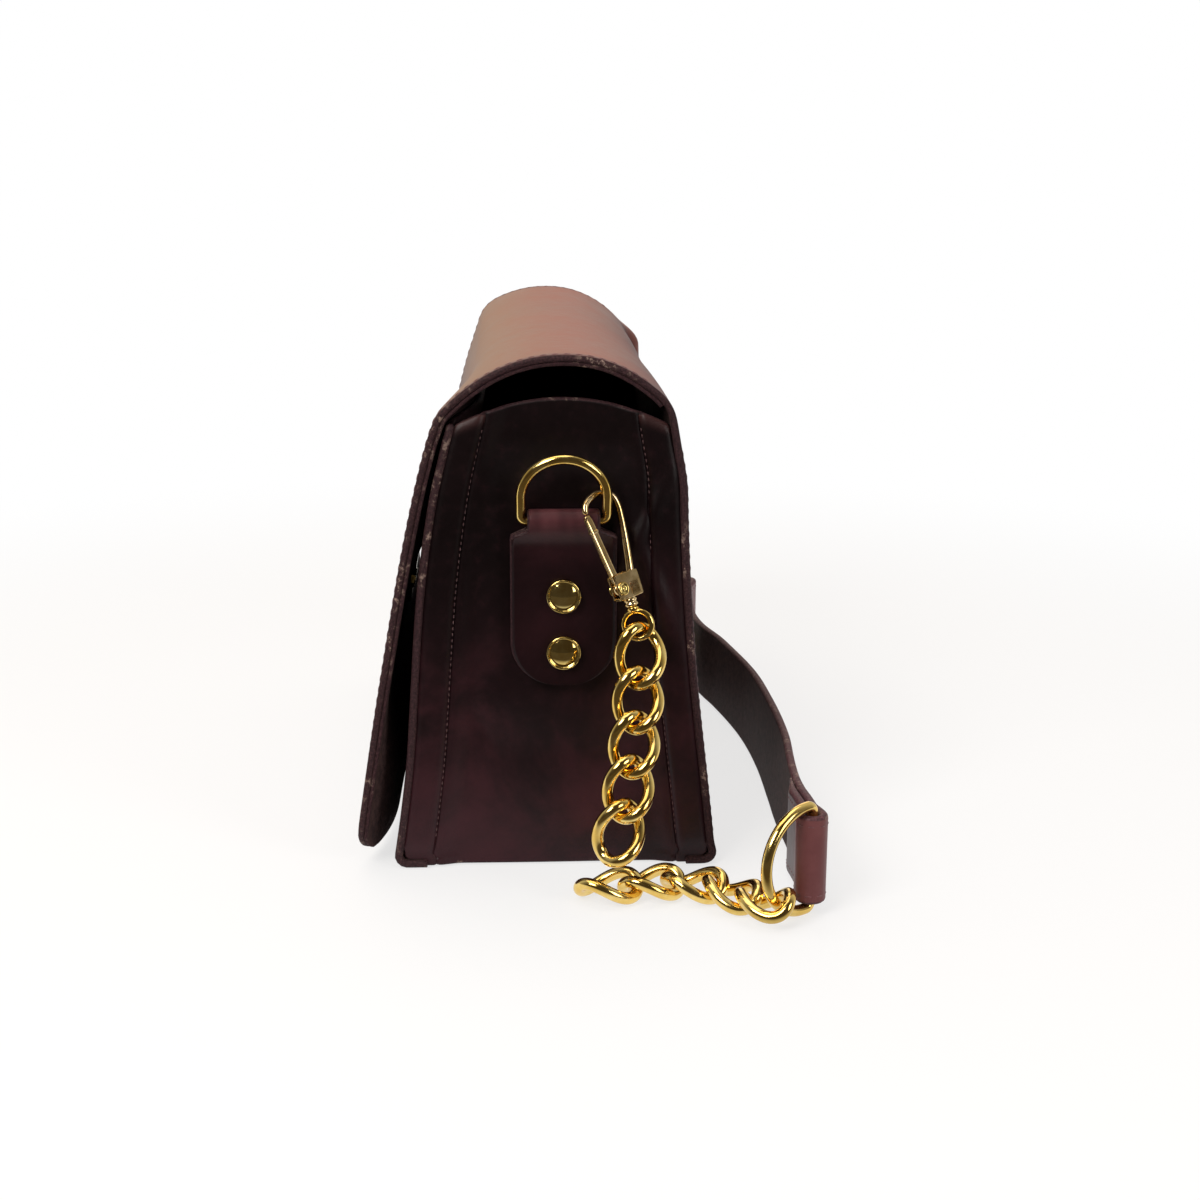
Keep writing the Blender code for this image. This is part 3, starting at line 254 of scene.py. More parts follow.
# The flap's pale and tan colours are painted sheen on the arch
flapLeather = makeLeather(
    "flapLeather", (0.0230, 0.0058, 0.0090), (0.0600, 0.0135, 0.0190), (0.2700, 0.0560, 0.0240), 0.46, 1.0, 0.02,
    frontSheen=(0.2500, 0.1250, 0.0480),
)
liningLeather = makeLeather(
    "liningLeather", (0.0095, 0.0060, 0.0062), (0.0170, 0.0090, 0.0095), (0.05, 0.03, 0.03), 0.62, 0.6, 0.0,
)
# The tabs' pale colour is a painted highlight on the fold over the ring
tabLeather = makeLeather(
    "tabLeather", (0.0095, 0.0030, 0.0040), (0.0210, 0.0052, 0.0075), (0.1500, 0.0500, 0.0560), 0.34, 0.3, 0.06,
)
strapLeather = makeLeather(
    "strapLeather", (0.0420, 0.0110, 0.0130), (0.0800, 0.0230, 0.0240), (0.2000, 0.0700, 0.0720), 0.40, 0.8,
    redEdge=2.6,
)


# Thread: its strands are a fine twist in colour and relief
def makeThread(name, colour):
    s = Shade(name)
    twist = s.noise(s.objectPlace(), 1100, 2)
    shade = s.mix(twist.between(0.3, 0.7), colour, tuple(c * 1.9 for c in colour))
    return s.finish(Base_Color=shade, Roughness=0.75, Normal=s.bump(twist, 0.05 * mm, 0.6), Sheen_Weight=0.2)


threadDark = makeThread("threadDark", (0.085, 0.026, 0.030))
threadPale = makeThread("threadPale", (0.075, 0.036, 0.037))

gold = {
    "bright": (0.95, 0.72, 0.26),
    "deep": (0.82, 0.54, 0.13),
    "roughness": 0.10,
    "dentDepth": 0.07 * mm,
}


# Polished gold plate: a faint cloud of colour, fine drawn scratches and the soft dents of wire
def makeGold(name, roughness, bright, deep):
    s = Shade(name)
    place = s.objectPlace()
    cloud = s.noise(place, 170, 4, 0.6)
    scratch = s.noise(s.stretched(place, (2500, 240, 900)), 1.0, 3, 0.6)
    colour = s.mix(cloud.between(0.3, 0.75), deep, bright)
    rough = roughness + 0.09 * cloud.between(0.45, 0.8) + 0.05 * scratch
    dent = s.bump(s.noise(place, 300, 2), gold["dentDepth"], 0.4)
    return s.finish(
        Base_Color=colour, Metallic=1.0, Roughness=rough.limited(0.05, 0.6),
        Normal=s.bump(scratch, 0.01 * mm, 0.3, dent),
    )


polishedGold = makeGold("polishedGold", gold["roughness"], gold["bright"], gold["deep"])
rivetGold = makeGold("rivetGold", 0.05, (0.90, 0.72, 0.28), (0.70, 0.48, 0.13))
claspGold = makeGold("claspGold", 0.12, (0.93, 0.72, 0.40), (0.66, 0.45, 0.18))
print("materials made")


# Making meshes
def unit(vector):
    vector = np.asarray(vector, float)
    return vector / np.linalg.norm(vector, axis=-1, keepdims=True)


# A smooth shaded mesh at the origin, with values stored on its points and a UV map.
def makeMesh(name, points, faces, material, values=None, uv=None):
    mesh = bpy.data.meshes.new(name)
    faces = [np.asarray(group) for group in faces if len(group)]
    mesh.vertices.add(len(points))
    mesh.vertices.foreach_set("co", np.asarray(points, np.float32).ravel())
    corners = np.concatenate([group.ravel() for group in faces])
    sizes = np.concatenate([np.full(len(group), group.shape[1]) for group in faces])
    mesh.loops.add(len(corners))
    mesh.loops.foreach_set("vertex_index", corners.astype(np.int32))
    mesh.polygons.add(len(sizes))
    mesh.polygons.foreach_set("loop_start", np.concatenate([[0], np.cumsum(sizes)[:-1]]).astype(np.int32))
    mesh.polygons.foreach_set("use_smooth", np.ones(len(sizes), bool))
    mesh.update(calc_edges=True)
    for key, numbers in (values or {}).items():
        mesh.attributes.new(key, "FLOAT", "POINT").data.foreach_set("value", np.asarray(numbers, np.float32))
    if uv is not None:
        mesh.uv_layers.new(name="surface").data.foreach_set("uv", np.asarray(uv, np.float32)[corners].ravel())
    mesh.materials.append(material)
    made = bpy.data.objects.new(name, mesh)
    bpy.context.scene.collection.objects.link(made)
    return made


def gridQuads(rows, columns, start=0, closedRows=False, closedColumns=False):
    r = np.arange(rows if closedRows else rows - 1)
    c = np.arange(columns if closedColumns else columns - 1)
    r, c = np.meshgrid(r, c, indexing="ij")
    below, right = (r + 1) % rows, (c + 1) % columns
    quads = np.stack([r * columns + c, r * columns + right, below * columns + right, below * columns + c], -1)
    return quads.reshape(-1, 4) + start


# Several (points, faces) as one.
def joinShapes(shapes):
    points, faces, start = [], [], 0
    for some, groups in shapes:
        points.append(some)
        faces += [np.asarray(group) + start for group in groups]
        start += len(some)
    return np.vstack(points), faces


# Turns a closed shape's faces outwards: the volume under them, summed, is then positive.
def facesOutward(points, faces):
    volume = 0
    for group in faces:
        for k in range(1, group.shape[1] - 1):
            a, b, c = points[group[:, 0]], points[group[:, k]], points[group[:, k + 1]]
            volume += np.einsum("ij,ij->", a, np.cross(b, c))
    return faces if volume > 0 else [group[:, ::-1] for group in faces]


# A sheet of leather: middle is a grid of points (rows, columns, 3). Each face lies half the
# thickness to one side of it, and a half round rim joins them all the way round. The first face
# is the one that looks away from the centre.
def sheetShape(middle, thickness, centre, steps=5):
    rows, columns = middle.shape[:2]
    normal = gridNormals(middle)
    if np.sum((middle - centre) * normal) < 0:
        normal = -normal
    half = np.broadcast_to(np.asarray(thickness, float), (rows, columns))[..., None] / 2
    top, bottom = middle + normal * half, middle - normal * half
    r = np.concatenate([
        np.zeros(columns, int), np.arange(1, rows), np.full(columns - 1, rows - 1), np.arange(rows - 2, 0, -1),
    ])
    c = np.concatenate([
        np.arange(columns), np.full(rows - 1, columns - 1), np.arange(columns - 2, -1, -1), np.zeros(rows - 2, int),
    ])
    insideR, insideC = np.clip(r, 1, rows - 2), np.clip(c, 1, columns - 2)
    out = unit(middle[r, c] - middle[insideR, insideC])
    out = unit(out - normal[r, c] * np.sum(out * normal[r, c], axis=1, keepdims=True))
    rimHalf = half[r, c] * 0.999
    start = middle[r, c]
    turn = np.linspace(0, pi, steps + 2)[1:-1]
    rings = [start + out * rimHalf * (sin(a) - 1) * 0.9 + normal[r, c] * rimHalf * cos(a) for a in turn]
    top[r, c] = start - out * rimHalf * 0.9 + normal[r, c] * rimHalf
    bottom[r, c] = start - out * rimHalf * 0.9 - normal[r, c] * rimHalf
    count = rows * columns
    points = np.vstack([top.reshape(-1, 3), bottom.reshape(-1, 3), *rings])
    loopTop = r * columns + c
    loops = [loopTop, *[2 * count + k * len(r) + np.arange(len(r)) for k in range(steps)], loopTop + count]
    faces = [gridQuads(rows, columns), gridQuads(rows, columns, count)[:, ::-1]]
    for upper, lower in zip(loops, loops[1:]):
        faces.append(np.stack([upper, lower, np.roll(lower, -1), np.roll(upper, -1)], -1))
    rim = np.zeros(len(points))
    rim[2 * count:] = 1
    nearTop = np.zeros((rows, columns))
    nearTop[[0, -1]] = nearTop[:, [0, -1]] = 0.5
    rim[:count] = rim[count:2 * count] = nearTop.ravel()
    inner = np.zeros(len(points))
    inner[count:2 * count] = 1
    down, across = lengthsAlong(middle[:, columns // 2]), lengthsAlong(middle[rows // 2])
    grid = np.stack(np.meshgrid(down, across, indexing="ij"), -1).reshape(-1, 2)
    uv = np.vstack([grid, grid, *[grid[loopTop]] * steps])
    return points, facesOutward(points, faces), {"rim": rim, "inner": inner}, uv


def makeSheet(name, middle, thickness, material, fold=None, centre=(0, 0, 70 * mm)):
    points, faces, values, uv = sheetShape(middle, thickness, centre)
    count = middle.shape[0] * middle.shape[1]
    values["fold"] = np.zeros(len(points))
    if fold is not None:
        values["fold"][:count] = np.asarray(fold).ravel()
    return makeMesh(name, points, faces, material, values, uv)


def pathWays(points, closed):
    if closed:
        ways = np.roll(points, -1, axis=0) - np.roll(points, 1, axis=0)
    else:
        ways = np.gradient(points, axis=0)
    return unit(ways)


# A round bar: a circle of the radius carried along the points. up is never along the path.
# Open ends are closed with a small dome.
def tubeShape(points, up, radius, sides=20, closed=True):
    points = np.asarray(points, float)
    along = pathWays(points, closed)
    across = unit(np.cross(along, np.broadcast_to(np.asarray(up, float), along.shape)))
    over = np.cross(across, along)
    turn = np.arange(sides) / sides * 2 * pi
    radius = np.broadcast_to(np.asarray(radius, float), len(points))
    if not closed:
        # three shrinking rings at each end make the dome
        tips = np.array([0.25, 0.65, 0.92])
        first = points[0] - along[0] * radius[0] * tips[::-1, None]
        last = points[-1] + along[-1] * radius[-1] * tips[:, None]
        ends = np.sqrt(1 - tips**2)
        points = np.vstack([first, points, last])
        radius = np.concatenate([radius[0] * ends[::-1], radius, radius[-1] * ends])
        across = np.vstack([np.repeat(across[:1], 3, 0), across, np.repeat(across[-1:], 3, 0)])
        over = np.vstack([np.repeat(over[:1], 3, 0), over, np.repeat(over[-1:], 3, 0)])
    rings = points[:, None] + radius[:, None, None] * (
        np.cos(turn)[None, :, None] * across[:, None] + np.sin(turn)[None, :, None] * over[:, None]
    )
    faces = [gridQuads(len(points), sides, 0, closed, True)]
    if not closed:
        last = (len(points) - 1) * sides
        faces += [np.arange(sides)[::-1][None], np.arange(last, last + sides)[None]]
    shape = rings.reshape(-1, 3)
    return shape, facesOutward(shape, faces)


# A solid of revolution about an axis: profile holds (distance along it, radius), and starts
# and ends on the axis.
def turnedShape(profile, centre, axis, steps=40):
    axis = unit(axis)
    side = unit(np.cross(axis, (0, 0, 1) if abs(axis[2]) < 0.9 else (0, 1, 0)))
    other = np.cross(axis, side)
    turn = np.arange(steps) / steps * 2 * pi
    along = np.array([p[0] for p in profile[1:-1]])[:, None, None]
    radius = np.array([p[1] for p in profile[1:-1]])[:, None, None]
    circle = np.cos(turn)[:, None] * side + np.sin(turn)[:, None] * other
    rings = (np.asarray(centre) + along * axis + radius * circle).reshape(-1, 3)
    points = np.vstack([rings, np.asarray(centre) + profile[0][0] * axis, np.asarray(centre) + profile[-1][0] * axis])
    count = len(profile) - 2
    a = np.arange(steps)
    b = (a + 1) % steps
    last = (count - 1) * steps
    faces = [
        gridQuads(count, steps, 0, False, True),
        np.stack([np.full(steps, count * steps), b, a], -1),
        np.stack([np.full(steps, count * steps + 1), last + a, last + b], -1),
    ]
    return points, facesOutward(points, faces)


# Catmull-Rom curve through the guides.
def smoothCurve(guides, steps):
    guides = np.asarray(guides, float)
    padded = np.vstack([2 * guides[0] - guides[1], guides, 2 * guides[-1] - guides[-2]])
    t = np.linspace(0, 1, steps, endpoint=False)[:, None]
    pieces = [
        0.5 * (2 * b + (c - a) * t + (2 * a - 5 * b + 4 * c - d) * t**2 + (3 * b - a - 3 * c + d) * t**3)
        for a, b, c, d in zip(padded, padded[1:], padded[2:], padded[3:])
    ]
    return np.vstack([*pieces, guides[-1:]])


def lengthsAlong(points):
    return np.concatenate([[0], np.cumsum(np.linalg.norm(np.diff(points, axis=0), axis=1))])


# The points of a line, and whatever else its columns hold, at places along it
def sampled(points, along, places):
    return np.stack([np.interp(places, along, column) for column in points.T], -1)


def resampled(points, count):
    along = lengthsAlong(points)
    return sampled(points, along, np.linspace(0, along[-1], count))


def gridNormals(grid):
    return unit(np.cross(np.gradient(grid, axis=0), np.gradient(grid, axis=1)))


def leftNormals(line):
    ways = pathWays(line, False)
    return np.stack([-ways[:, 1], ways[:, 0]], 1)


def ease(low, high, value):
    share = np.clip((value - low) / (high - low), 0, 1)
    return share * share * (3 - 2 * share)


# A smooth uneven surface: a sum of sine waves with fixed, seeded directions.
def ripple(a, b, seed, waves=7):
    chance = np.random.default_rng(seed)
    total = np.zeros(np.broadcast(a, b).shape)
    for _ in range(waves):
        turn, phase, size = chance.uniform(0, 2 * pi, 3)
        total = total + np.sin((a * cos(turn) + b * sin(turn)) * (0.6 + size / 4) + phase)
    return total / waves


# A row of stitches along a line that lies on a surface. Each stitch is a thin thread of five rings that
# rises from the leather and dips back into it, and all of them are worked out as one array.
def stitchRow(name, line, outwards, material, body, stitch=2.5 * mm, space=1.1 * mm, radius=0.21 * mm, lift=0.0):
    along = lengthsAlong(line)
    starts = np.arange(space, along[-1] - stitch, stitch + space)
    places = starts[:, None] + stitch * np.array([0, 0.14, 0.5, 0.86, 1])
    middle, out = sampled(line, along, places), unit(sampled(outwards, along, places))
    across = unit(np.cross(middle[:, -1:] - middle[:, :1], out))
    middle = middle + out * (radius * (np.array([-1.4, -0.45, 0, -0.45, -1.4]) + lift))[:, None]
    width = (radius * np.array([0.4, 1, 1, 1, 0.4]))[:, None, None]
    turn = np.arange(5) / 5 * 2 * pi
    circle = np.cos(turn)[:, None] * across[:, :, None] + np.sin(turn)[:, None] * out[:, :, None]
    points = (middle[:, :, None] + width * circle).reshape(-1, 3)
    first = np.arange(len(starts))[:, None, None] * 25
    sides = (gridQuads(5, 5, 0, False, True)[None] + first).reshape(-1, 4)
    caps = np.concatenate([np.arange(5)[::-1][None] + first[:, 0], np.arange(20, 25)[None] + first[:, 0]])
    made = makeMesh(name, points, facesOutward(points, [sides, caps]), material)
    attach(made, body)


# A piece that stands in a node's place has that node's name, in camel case
def settle(make, node, body, slot, *values, **more):
    first, *others = node.split("_")
    piece = make(first + "".join(word.capitalize() for word in others), *values, **more)
    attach(piece, body)
    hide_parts(node)


def addPiece(node, shape, material, body="bag", slot="polished_gold"):
    settle(makeMesh, node, body, slot, *shape, material)


def addSheet(node, middle, thickness, material, body="bag", slot="burgundy_leather", **more):
    settle(makeSheet, node, body, slot, middle, thickness, material, **more)


# Body: the outlines that the panels, the gussets and the flap share
body = {
    "halfLength": 110.2 * mm,
    "baseDepth": 51.6 * mm,
    "panel": 2.6 * mm,
    "frontTop": (-33.0 * mm, 143.0 * mm),
    "backTop": (41.2 * mm, 144.9 * mm),
    "footRadius": 4.0 * mm,
    "footWidth": 10.5 * mm,
    "frontLean": ((0.05, 0.03), (0.13, 0.12), (0.25, 0.23), (0.38, 0.31), (0.57, 0.42),
                  (0.69, 0.52), (0.82, 0.67), (0.92, 0.84), (1.00, 1.00)),
    "backLean": ((0.05, 0.09), (0.20, 0.33), (0.40, 0.66), (0.55, 0.85), (0.73, 1.01), (0.88, 1.07), (1.00, 1.00)),
}

# How far the sagging leather is drawn in. A pair is where a change along a direction begins and ends:
# spans are shares of the half length, from the middle to the right hand end at 1.
pull = {
    "front": 8.6 * mm,    # the front's upper part, but for the right hand end
    "frontSpan": (1.0, 0.45),
    "frontLow": (82 * mm, 118 * mm),
    "frontHigh": (159 * mm, 143 * mm),
    "frontDepth": (-8 * mm, -22 * mm),
    "hem": 8.8 * mm,      # the flap's lower front, with the same exception
    "hemSpan": 0.5,
    "hemPower": 2.5,
    "hemHeight": (60 * mm, 25 * mm),
    "top": 4.6 * mm,      # the back's upper edge, at its ends
    "middle": 2.0 * mm,   # how much more between them
    "middleAt": -0.06,
    "middleReach": 0.52,
    "far": 2.0 * mm,      # how much more towards the left end
    "farSpan": (-0.2, -0.9),
    "ear": 5.2 * mm,      # the left end's corner curls out again by this much
    "earSpan": (-0.88, -0.96),
    "earHeight": (151 * mm, 142 * mm),
    "backHeight": (120 * mm, 150 * mm),
    "archFrom": -12 * mm,
    "archReach": 50 * mm,
    "archPower": 1.4,
}


# Outer face of a panel in the YZ plane: under the base, round the bend and up the wall.
def panelLine(sign, top, lean):
    depth, height = abs(top[0]), top[1]
    heights = np.array([share * height for share, _ in lean])
    depths = np.array([body["baseDepth"] - share * (body["baseDepth"] - depth) for _, share in lean])
    wall = smoothCurve(np.stack([depths, heights], 1), 8)
    turn = np.linspace(pi / 2, 0, 12)
    r = body["footRadius"]
    bend = np.stack([body["baseDepth"] - r + r * np.cos(turn), r - r * np.sin(turn)], 1)
    foot = np.array([[body["baseDepth"] - body["footWidth"], 0]])
    line = np.vstack([foot, bend, wall])
    line[:, 0] *= sign
    return line


frontLine = panelLine(-1, body["frontTop"], body["frontLean"])
backLine = panelLine(1, body["backTop"], body["backLean"])


# A grid from a line in the YZ plane, carried along X. halfLength may vary along the line.
def swept(line, halfLength, columns):
    share = np.linspace(-1, 1, columns)
    half = np.broadcast_to(np.asarray(halfLength, float), len(line))
    grid = np.zeros((len(line), columns, 3))
    grid[..., 0] = half[:, None] * share
    grid[..., 1:] = line[:, None]
    return grid


# How far the back's upper part is drawn in: nothing low on the wall and at the front of the arch, most
# at the ridge. The left end's corner curls out again under the ridge.
def backPull(x, y, z):
    share = x / body["halfLength"]
    amount = pull["top"] + pull["middle"] * np.exp(-((share - pull["middleAt"]) / pull["middleReach"]) ** 2)
    amount = amount + pull["far"] * ease(*pull["farSpan"], share)
    amount = amount - pull["ear"] * ease(*pull["earSpan"], share) * ease(*pull["earHeight"], z)
    onArch = np.clip((y - pull["archFrom"]) / pull["archReach"], 0, 1) ** pull["archPower"]
    return amount * ease(*pull["backHeight"], z) * onArch


# The front's upper half is drawn in too, everywhere but at the right hand end
def frontPull(x, y, z):
    share = x / body["halfLength"]
    rows = ease(*pull["frontLow"], z) * ease(*pull["frontHigh"], z)
    return pull["front"] * ease(*pull["frontSpan"], share) * rows * ease(*pull["frontDepth"], y)


# Under the snap the flap comes closer to the front, but its right hand end stands out
def hemPull(x, z):
    inward = np.clip((1 - x / body["halfLength"]) / pull["hemSpan"], 0, 1)
    return pull["hem"] * (1 - (1 - inward) ** pull["hemPower"]) * ease(*pull["hemHeight"], z)


def makeFrontPanel():
    line = resampled(frontLine, 90)
    middle = line - leftNormals(line) * body["panel"] / 2
    grid = swept(middle, body["halfLength"], 60)
    x, z = grid[..., 0], grid[..., 2]
    grid[..., 1] += 0.35 * mm * ripple(x * 40, z * 40, 3) * ease(10 * mm, 40 * mm, z)
    grid[..., 1] += frontPull(x, grid[..., 1], z)
    addSheet("front_panel", grid, body["panel"], panelLeather)


makeFrontPanel()


def makeBase():
    low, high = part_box("base_panel")
    count = 12
    y = np.linspace(low.y, high.y, count)
    line = np.stack([y, np.full(count, (low.z + high.z) / 2)], 1)
    grid = swept(line, high.x, 30)
    addSheet("base_panel", grid, high.z - low.z, panelLeather)


makeBase()
print("front panel and base made")

# Flap: one skin that runs from the back panel over the top and down the front
flap = {
    "halfLength": 111.5 * mm,
    "leather": 2.1 * mm,
    "lining": 1.3 * mm,
    "inset": 0.5 * mm,     # the lining's edge stands back from the leather's
    "seam": 145.2 * mm,
    "layers": 3.1 * mm,
    "archRise": 18.6 * mm,
    "archPower": 2.2,
    "archStart": radians(5.7),
    "frontDepth": 35.6 * mm,
    "endRise": 1.0 * mm,
    "hem": 4.5 * mm,
    "flare": 28.8 * mm,
    "flarePower": 0.75,
    "corner": 12.0 * mm,
    "farRise": 1.4 * mm,   # the arch stands this much higher at the left end
    "border": 2.7 * mm,    # from the cut edge to the row of stitches
    "bendStart": 31.0 * mm,   # where the skin starts and ends to turn about the hinge, along bendWay
    "bendEnd": 41.0 * mm,
    "bendWay": (0, -0.9, 0.436),
    "wrinkle": 0.55 * mm,
    "topHeight": (138 * mm, 156 * mm),     # where the unevenness of the top and of the front sets in
    "topDepth": (-30 * mm, 10 * mm),
    "hangHeight": (125 * mm, 60 * mm),
    "hangDepth": (-30 * mm, -42 * mm),
    "hemDepth": (-10 * mm, -30 * mm),
    "rubbedFront": (112 * mm, 156 * mm),   # heights from where to where a pale sheen is painted on the leather
    "rubbedBack": (140 * mm, 157 * mm),
    # the crest of the left end's curl gets a painted highlight between these heights
    "rubbedEar": (132 * mm, 141 * mm),
    "earSpan": (-0.86, -0.95),
}


# The flap's outer face in the YZ plane: a superellipse arch from the seam to the front, and then a
# drop that flares with a power of its height
def flapLine():
    back, front = body["backTop"][0], -flap["frontDepth"]
    middle, half = (back + front) / 2, (back - front) / 2
    across = np.cos(np.linspace(flap["archStart"], pi, 70))
    bow = np.abs(across) ** flap["archPower"]
    rise = flap["seam"] + flap["layers"] + (flap["archRise"] - flap["layers"]) * (1 - bow)
    rise += (flap["endRise"] - flap["layers"]) * (1 - across) / 2 * bow
    fall = np.linspace(0, 1, 80)[1:]
    stand = front - flap["flare"] * fall ** flap["flarePower"]
    drop = np.stack([stand, rise[-1] + (flap["hem"] - rise[-1]) * fall], 1)
    return np.vstack([[back, flap["seam"]], np.stack([middle + half * across, rise], 1), drop])


# A running mean over a line's points, which rounds its corners and keeps its ends
def softened(line, reach):
    kernel = np.hanning(2 * reach + 3)[1:-1]
    padded = np.pad(line, ((reach, reach), (0, 0)), mode="edge")
    return np.stack([np.convolve(padded[:, k], kernel / kernel.sum(), "valid") for k in range(line.shape[1])], 1)


# Half the width lost at the lower corners, a quarter round
def cornerLoss(fromHem):
    reach = np.clip(flap["corner"] - fromHem, 0, flap["corner"] * 0.999)
    return flap["corner"] - np.sqrt(flap["corner"] ** 2 - reach**2)


# Draws the back's ridge in, lifts the left end and makes the hanging front a little uneven
def bendSkin(grid):
    x, y, z = grid[..., 0].copy(), grid[..., 1].copy(), grid[..., 2].copy()
    share = x / flap["halfLength"]
    grid[..., 1] += frontPull(x, y, z) + hemPull(x, z) * ease(*flap["hemDepth"], y) - backPull(x, y, z)
    onTop = ease(*flap["topHeight"], z)
    grid[..., 2] += flap["farRise"] * onTop * ease(0.2, -1, share)
    grid[..., 2] += 0.5 * flap["wrinkle"] * ripple(x * 55, y * 70, 31) * onTop * ease(*flap["topDepth"], y)
    hanging = ease(*flap["hangHeight"], z) * ease(*flap["hangDepth"], y)
    grid[..., 1] += flap["wrinkle"] * ripple(x * 30, z * 30, 11) * hanging


def makeFlap():
    over = resampled(flapLine(), 240)
    wall = resampled(backLine, 120)[:-1]
    ridge = len(wall)
    along = softened(np.vstack([wall, over]), 1)
    rounded = softened(along, 9)
    near = np.exp(-((np.arange(len(along)) - ridge) / 16.0) ** 4)[:, None]
    along = along * (1 - near) + rounded * near
    total = lengthsAlong(along)
    narrow = cornerLoss(total[-1] - total)
    share = ease(ridge - 12, ridge + 4, np.arange(len(along)))
    thickness = body["panel"] + (flap["leather"] - body["panel"]) * share
    half = body["halfLength"] + (flap["halfLength"] - body["halfLength"]) * share - narrow
    skin = swept(along + leftNormals(along) * thickness[:, None] / 2, half, 120)
    bendSkin(skin)
    height, depth = skin[..., 2], skin[..., 1]
    # Painted sheen over the top of the arch, fading towards the ends
    frontSide, backSide = ease(*flap["rubbedFront"], height), ease(*flap["rubbedBack"], height)
    rubbed = np.where(depth < 0, frontSide, backSide) * (0.62 + 0.38 * ease(34 * mm, 5 * mm, depth))
    rubbed *= 0.25 + 0.75 * ease(1.5 * mm, 7 * mm, flap["halfLength"] - np.abs(skin[..., 0]))
    # A painted highlight on the crest of the left end's curl
    onEar = ease(*flap["earSpan"], skin[..., 0] / flap["halfLength"]) * ease(0, 20 * mm, depth)
    rubbed = np.maximum(rubbed, 0.8 * onEar * ease(*flap["rubbedEar"], height))
    piece = makeSheet("flapSkin", skin, thickness[:, None], flapLeather, fold=rubbed)
    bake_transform(piece)
    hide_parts("flap_leather", "back_panel")
    return skin, thickness, ridge


# The lining lies against the skin's inner face, from just past the bend to the hem
def makeLining(skin, thickness, ridge):
    grid = skin[ridge + 6:]
    normal = gridNormals(grid)
    inward = normal if normal[40, 60, 2] < 0 else -normal
    depth = (thickness[ridge + 6:, None, None] + flap["lining"]) / 2
    lining = grid + inward * depth
    lining[..., 0] *= 1 - flap["inset"] / flap["halfLength"]
    addSheet("flap_lining", lining, flap["lining"], liningLeather, "flap", "dark_suede")


# Rows of stitches near the cut edges: along both ends of the flap and of the back, and along the hem
def flapStitches(skin, thickness, ridge):
    normal = gridNormals(skin)
    outward = -normal if normal[ridge + 40, 60, 2] < 0 else normal
    face = skin + outward * thickness[:, None, None] / 2
    rows = len(skin)
    across = face[rows // 2, :, 0]
    for side, word in rightAndLeft:
        place = side * (flap["halfLength"] - flap["border"])
        column = int(np.argmin(np.abs(across - place)))
        line = face[:, column].copy()
        line[:, 0] = np.minimum(np.abs(line[:, 0]), np.abs(place)) * side
        over, wall = slice(ridge + 14, rows - 26), slice(14, ridge - 6)
        stitchRow(f"flapStitches{word.capitalize()}", line[over], outward[over, column], threadDark, "flap",
                  radius=0.16 * mm, lift=0.3)
        stitchRow(f"backStitches{word.capitalize()}", line[wall], outward[wall, column], threadDark, "bag")
    row = rows - 5
    stitchRow("hemStitches", face[row, 8:-8], outward[row, 8:-8], threadDark, "flap")


skinGrid, skinThickness, ridgeRow = makeFlap()
makeLining(skinGrid, skinThickness, ridgeRow)
flapStitches(skinGrid, skinThickness, ridgeRow)
print("flap made")


# Gussets, the two end panels, and the tabs that lie on them
tab = {
    "centreY": 2.2 * mm,
    "width": 32.8 * mm,
    "neck": 22.2 * mm,
    "thickness": 1.7 * mm,
    "bottom": 61.5 * mm,
    "corner": 14.0 * mm,
    "shoulder": 3.0 * mm,
    "taper": 9.0 * mm,
    "gap": 0.3 * mm,
}
gusset = {
    "outerX": 108.8 * mm,
    "thickness": 2.2 * mm,
    "hemWidth": 8.5 * mm,
    "hemRise": 1.3 * mm,
    "groove": 0.9 * mm,       # depth of the stitched line beside the hem
    "grooveWidth": 0.8 * mm,
    "hollow": 1.7 * mm,       # how far the field sinks in between the hems, below and above the tab
    "topSide": 142.5 * mm,
    "topRise": 8.0 * mm,
    "foot": 0.2 * mm,
    "border": np.array([0, 0.4, 0.9, 1.6, 2.6, 4.2, 5.8, 6.9, 7.5, 7.9, 8.2, 8.5, 8.8, 9.1, 9.4, 9.7, 10.2, 11.0]) * mm,
    # Depth and height of a crease's middle, its lean and its reach
    "creases": ((27 * mm, 110 * mm, 0.5, 15 * mm), (31 * mm, 92 * mm, -0.35, 18 * mm)),
    "creaseRise": 1.3 * mm,
    "creaseWidth": 2.4 * mm,
    "besideTab": (19 * mm, 34 * mm),    # the field sinks in from here on: depth from the tab's middle,
    "aboveTab": (122 * mm, 138 * mm),   # height,
    "belowTab": (-2 * mm, -26 * mm),    # and height from the tab's lower end
    "ripple": 0.35 * mm,
    "seamOff": 0.6 * mm,      # from the hem to its stitches
    "stitch": (1.2 * mm, 0.75 * mm, 0.19 * mm),
}


# A panel's inner face at a height, less the gap: the gusset's edge lies there
def innerDepth(line, height):
    wall = line[line[:, 1] > body["footRadius"] / 2]
    return np.interp(height, wall[:, 1], np.abs(wall[:, 0])) - body["panel"] * 1.03 - 0.3 * mm


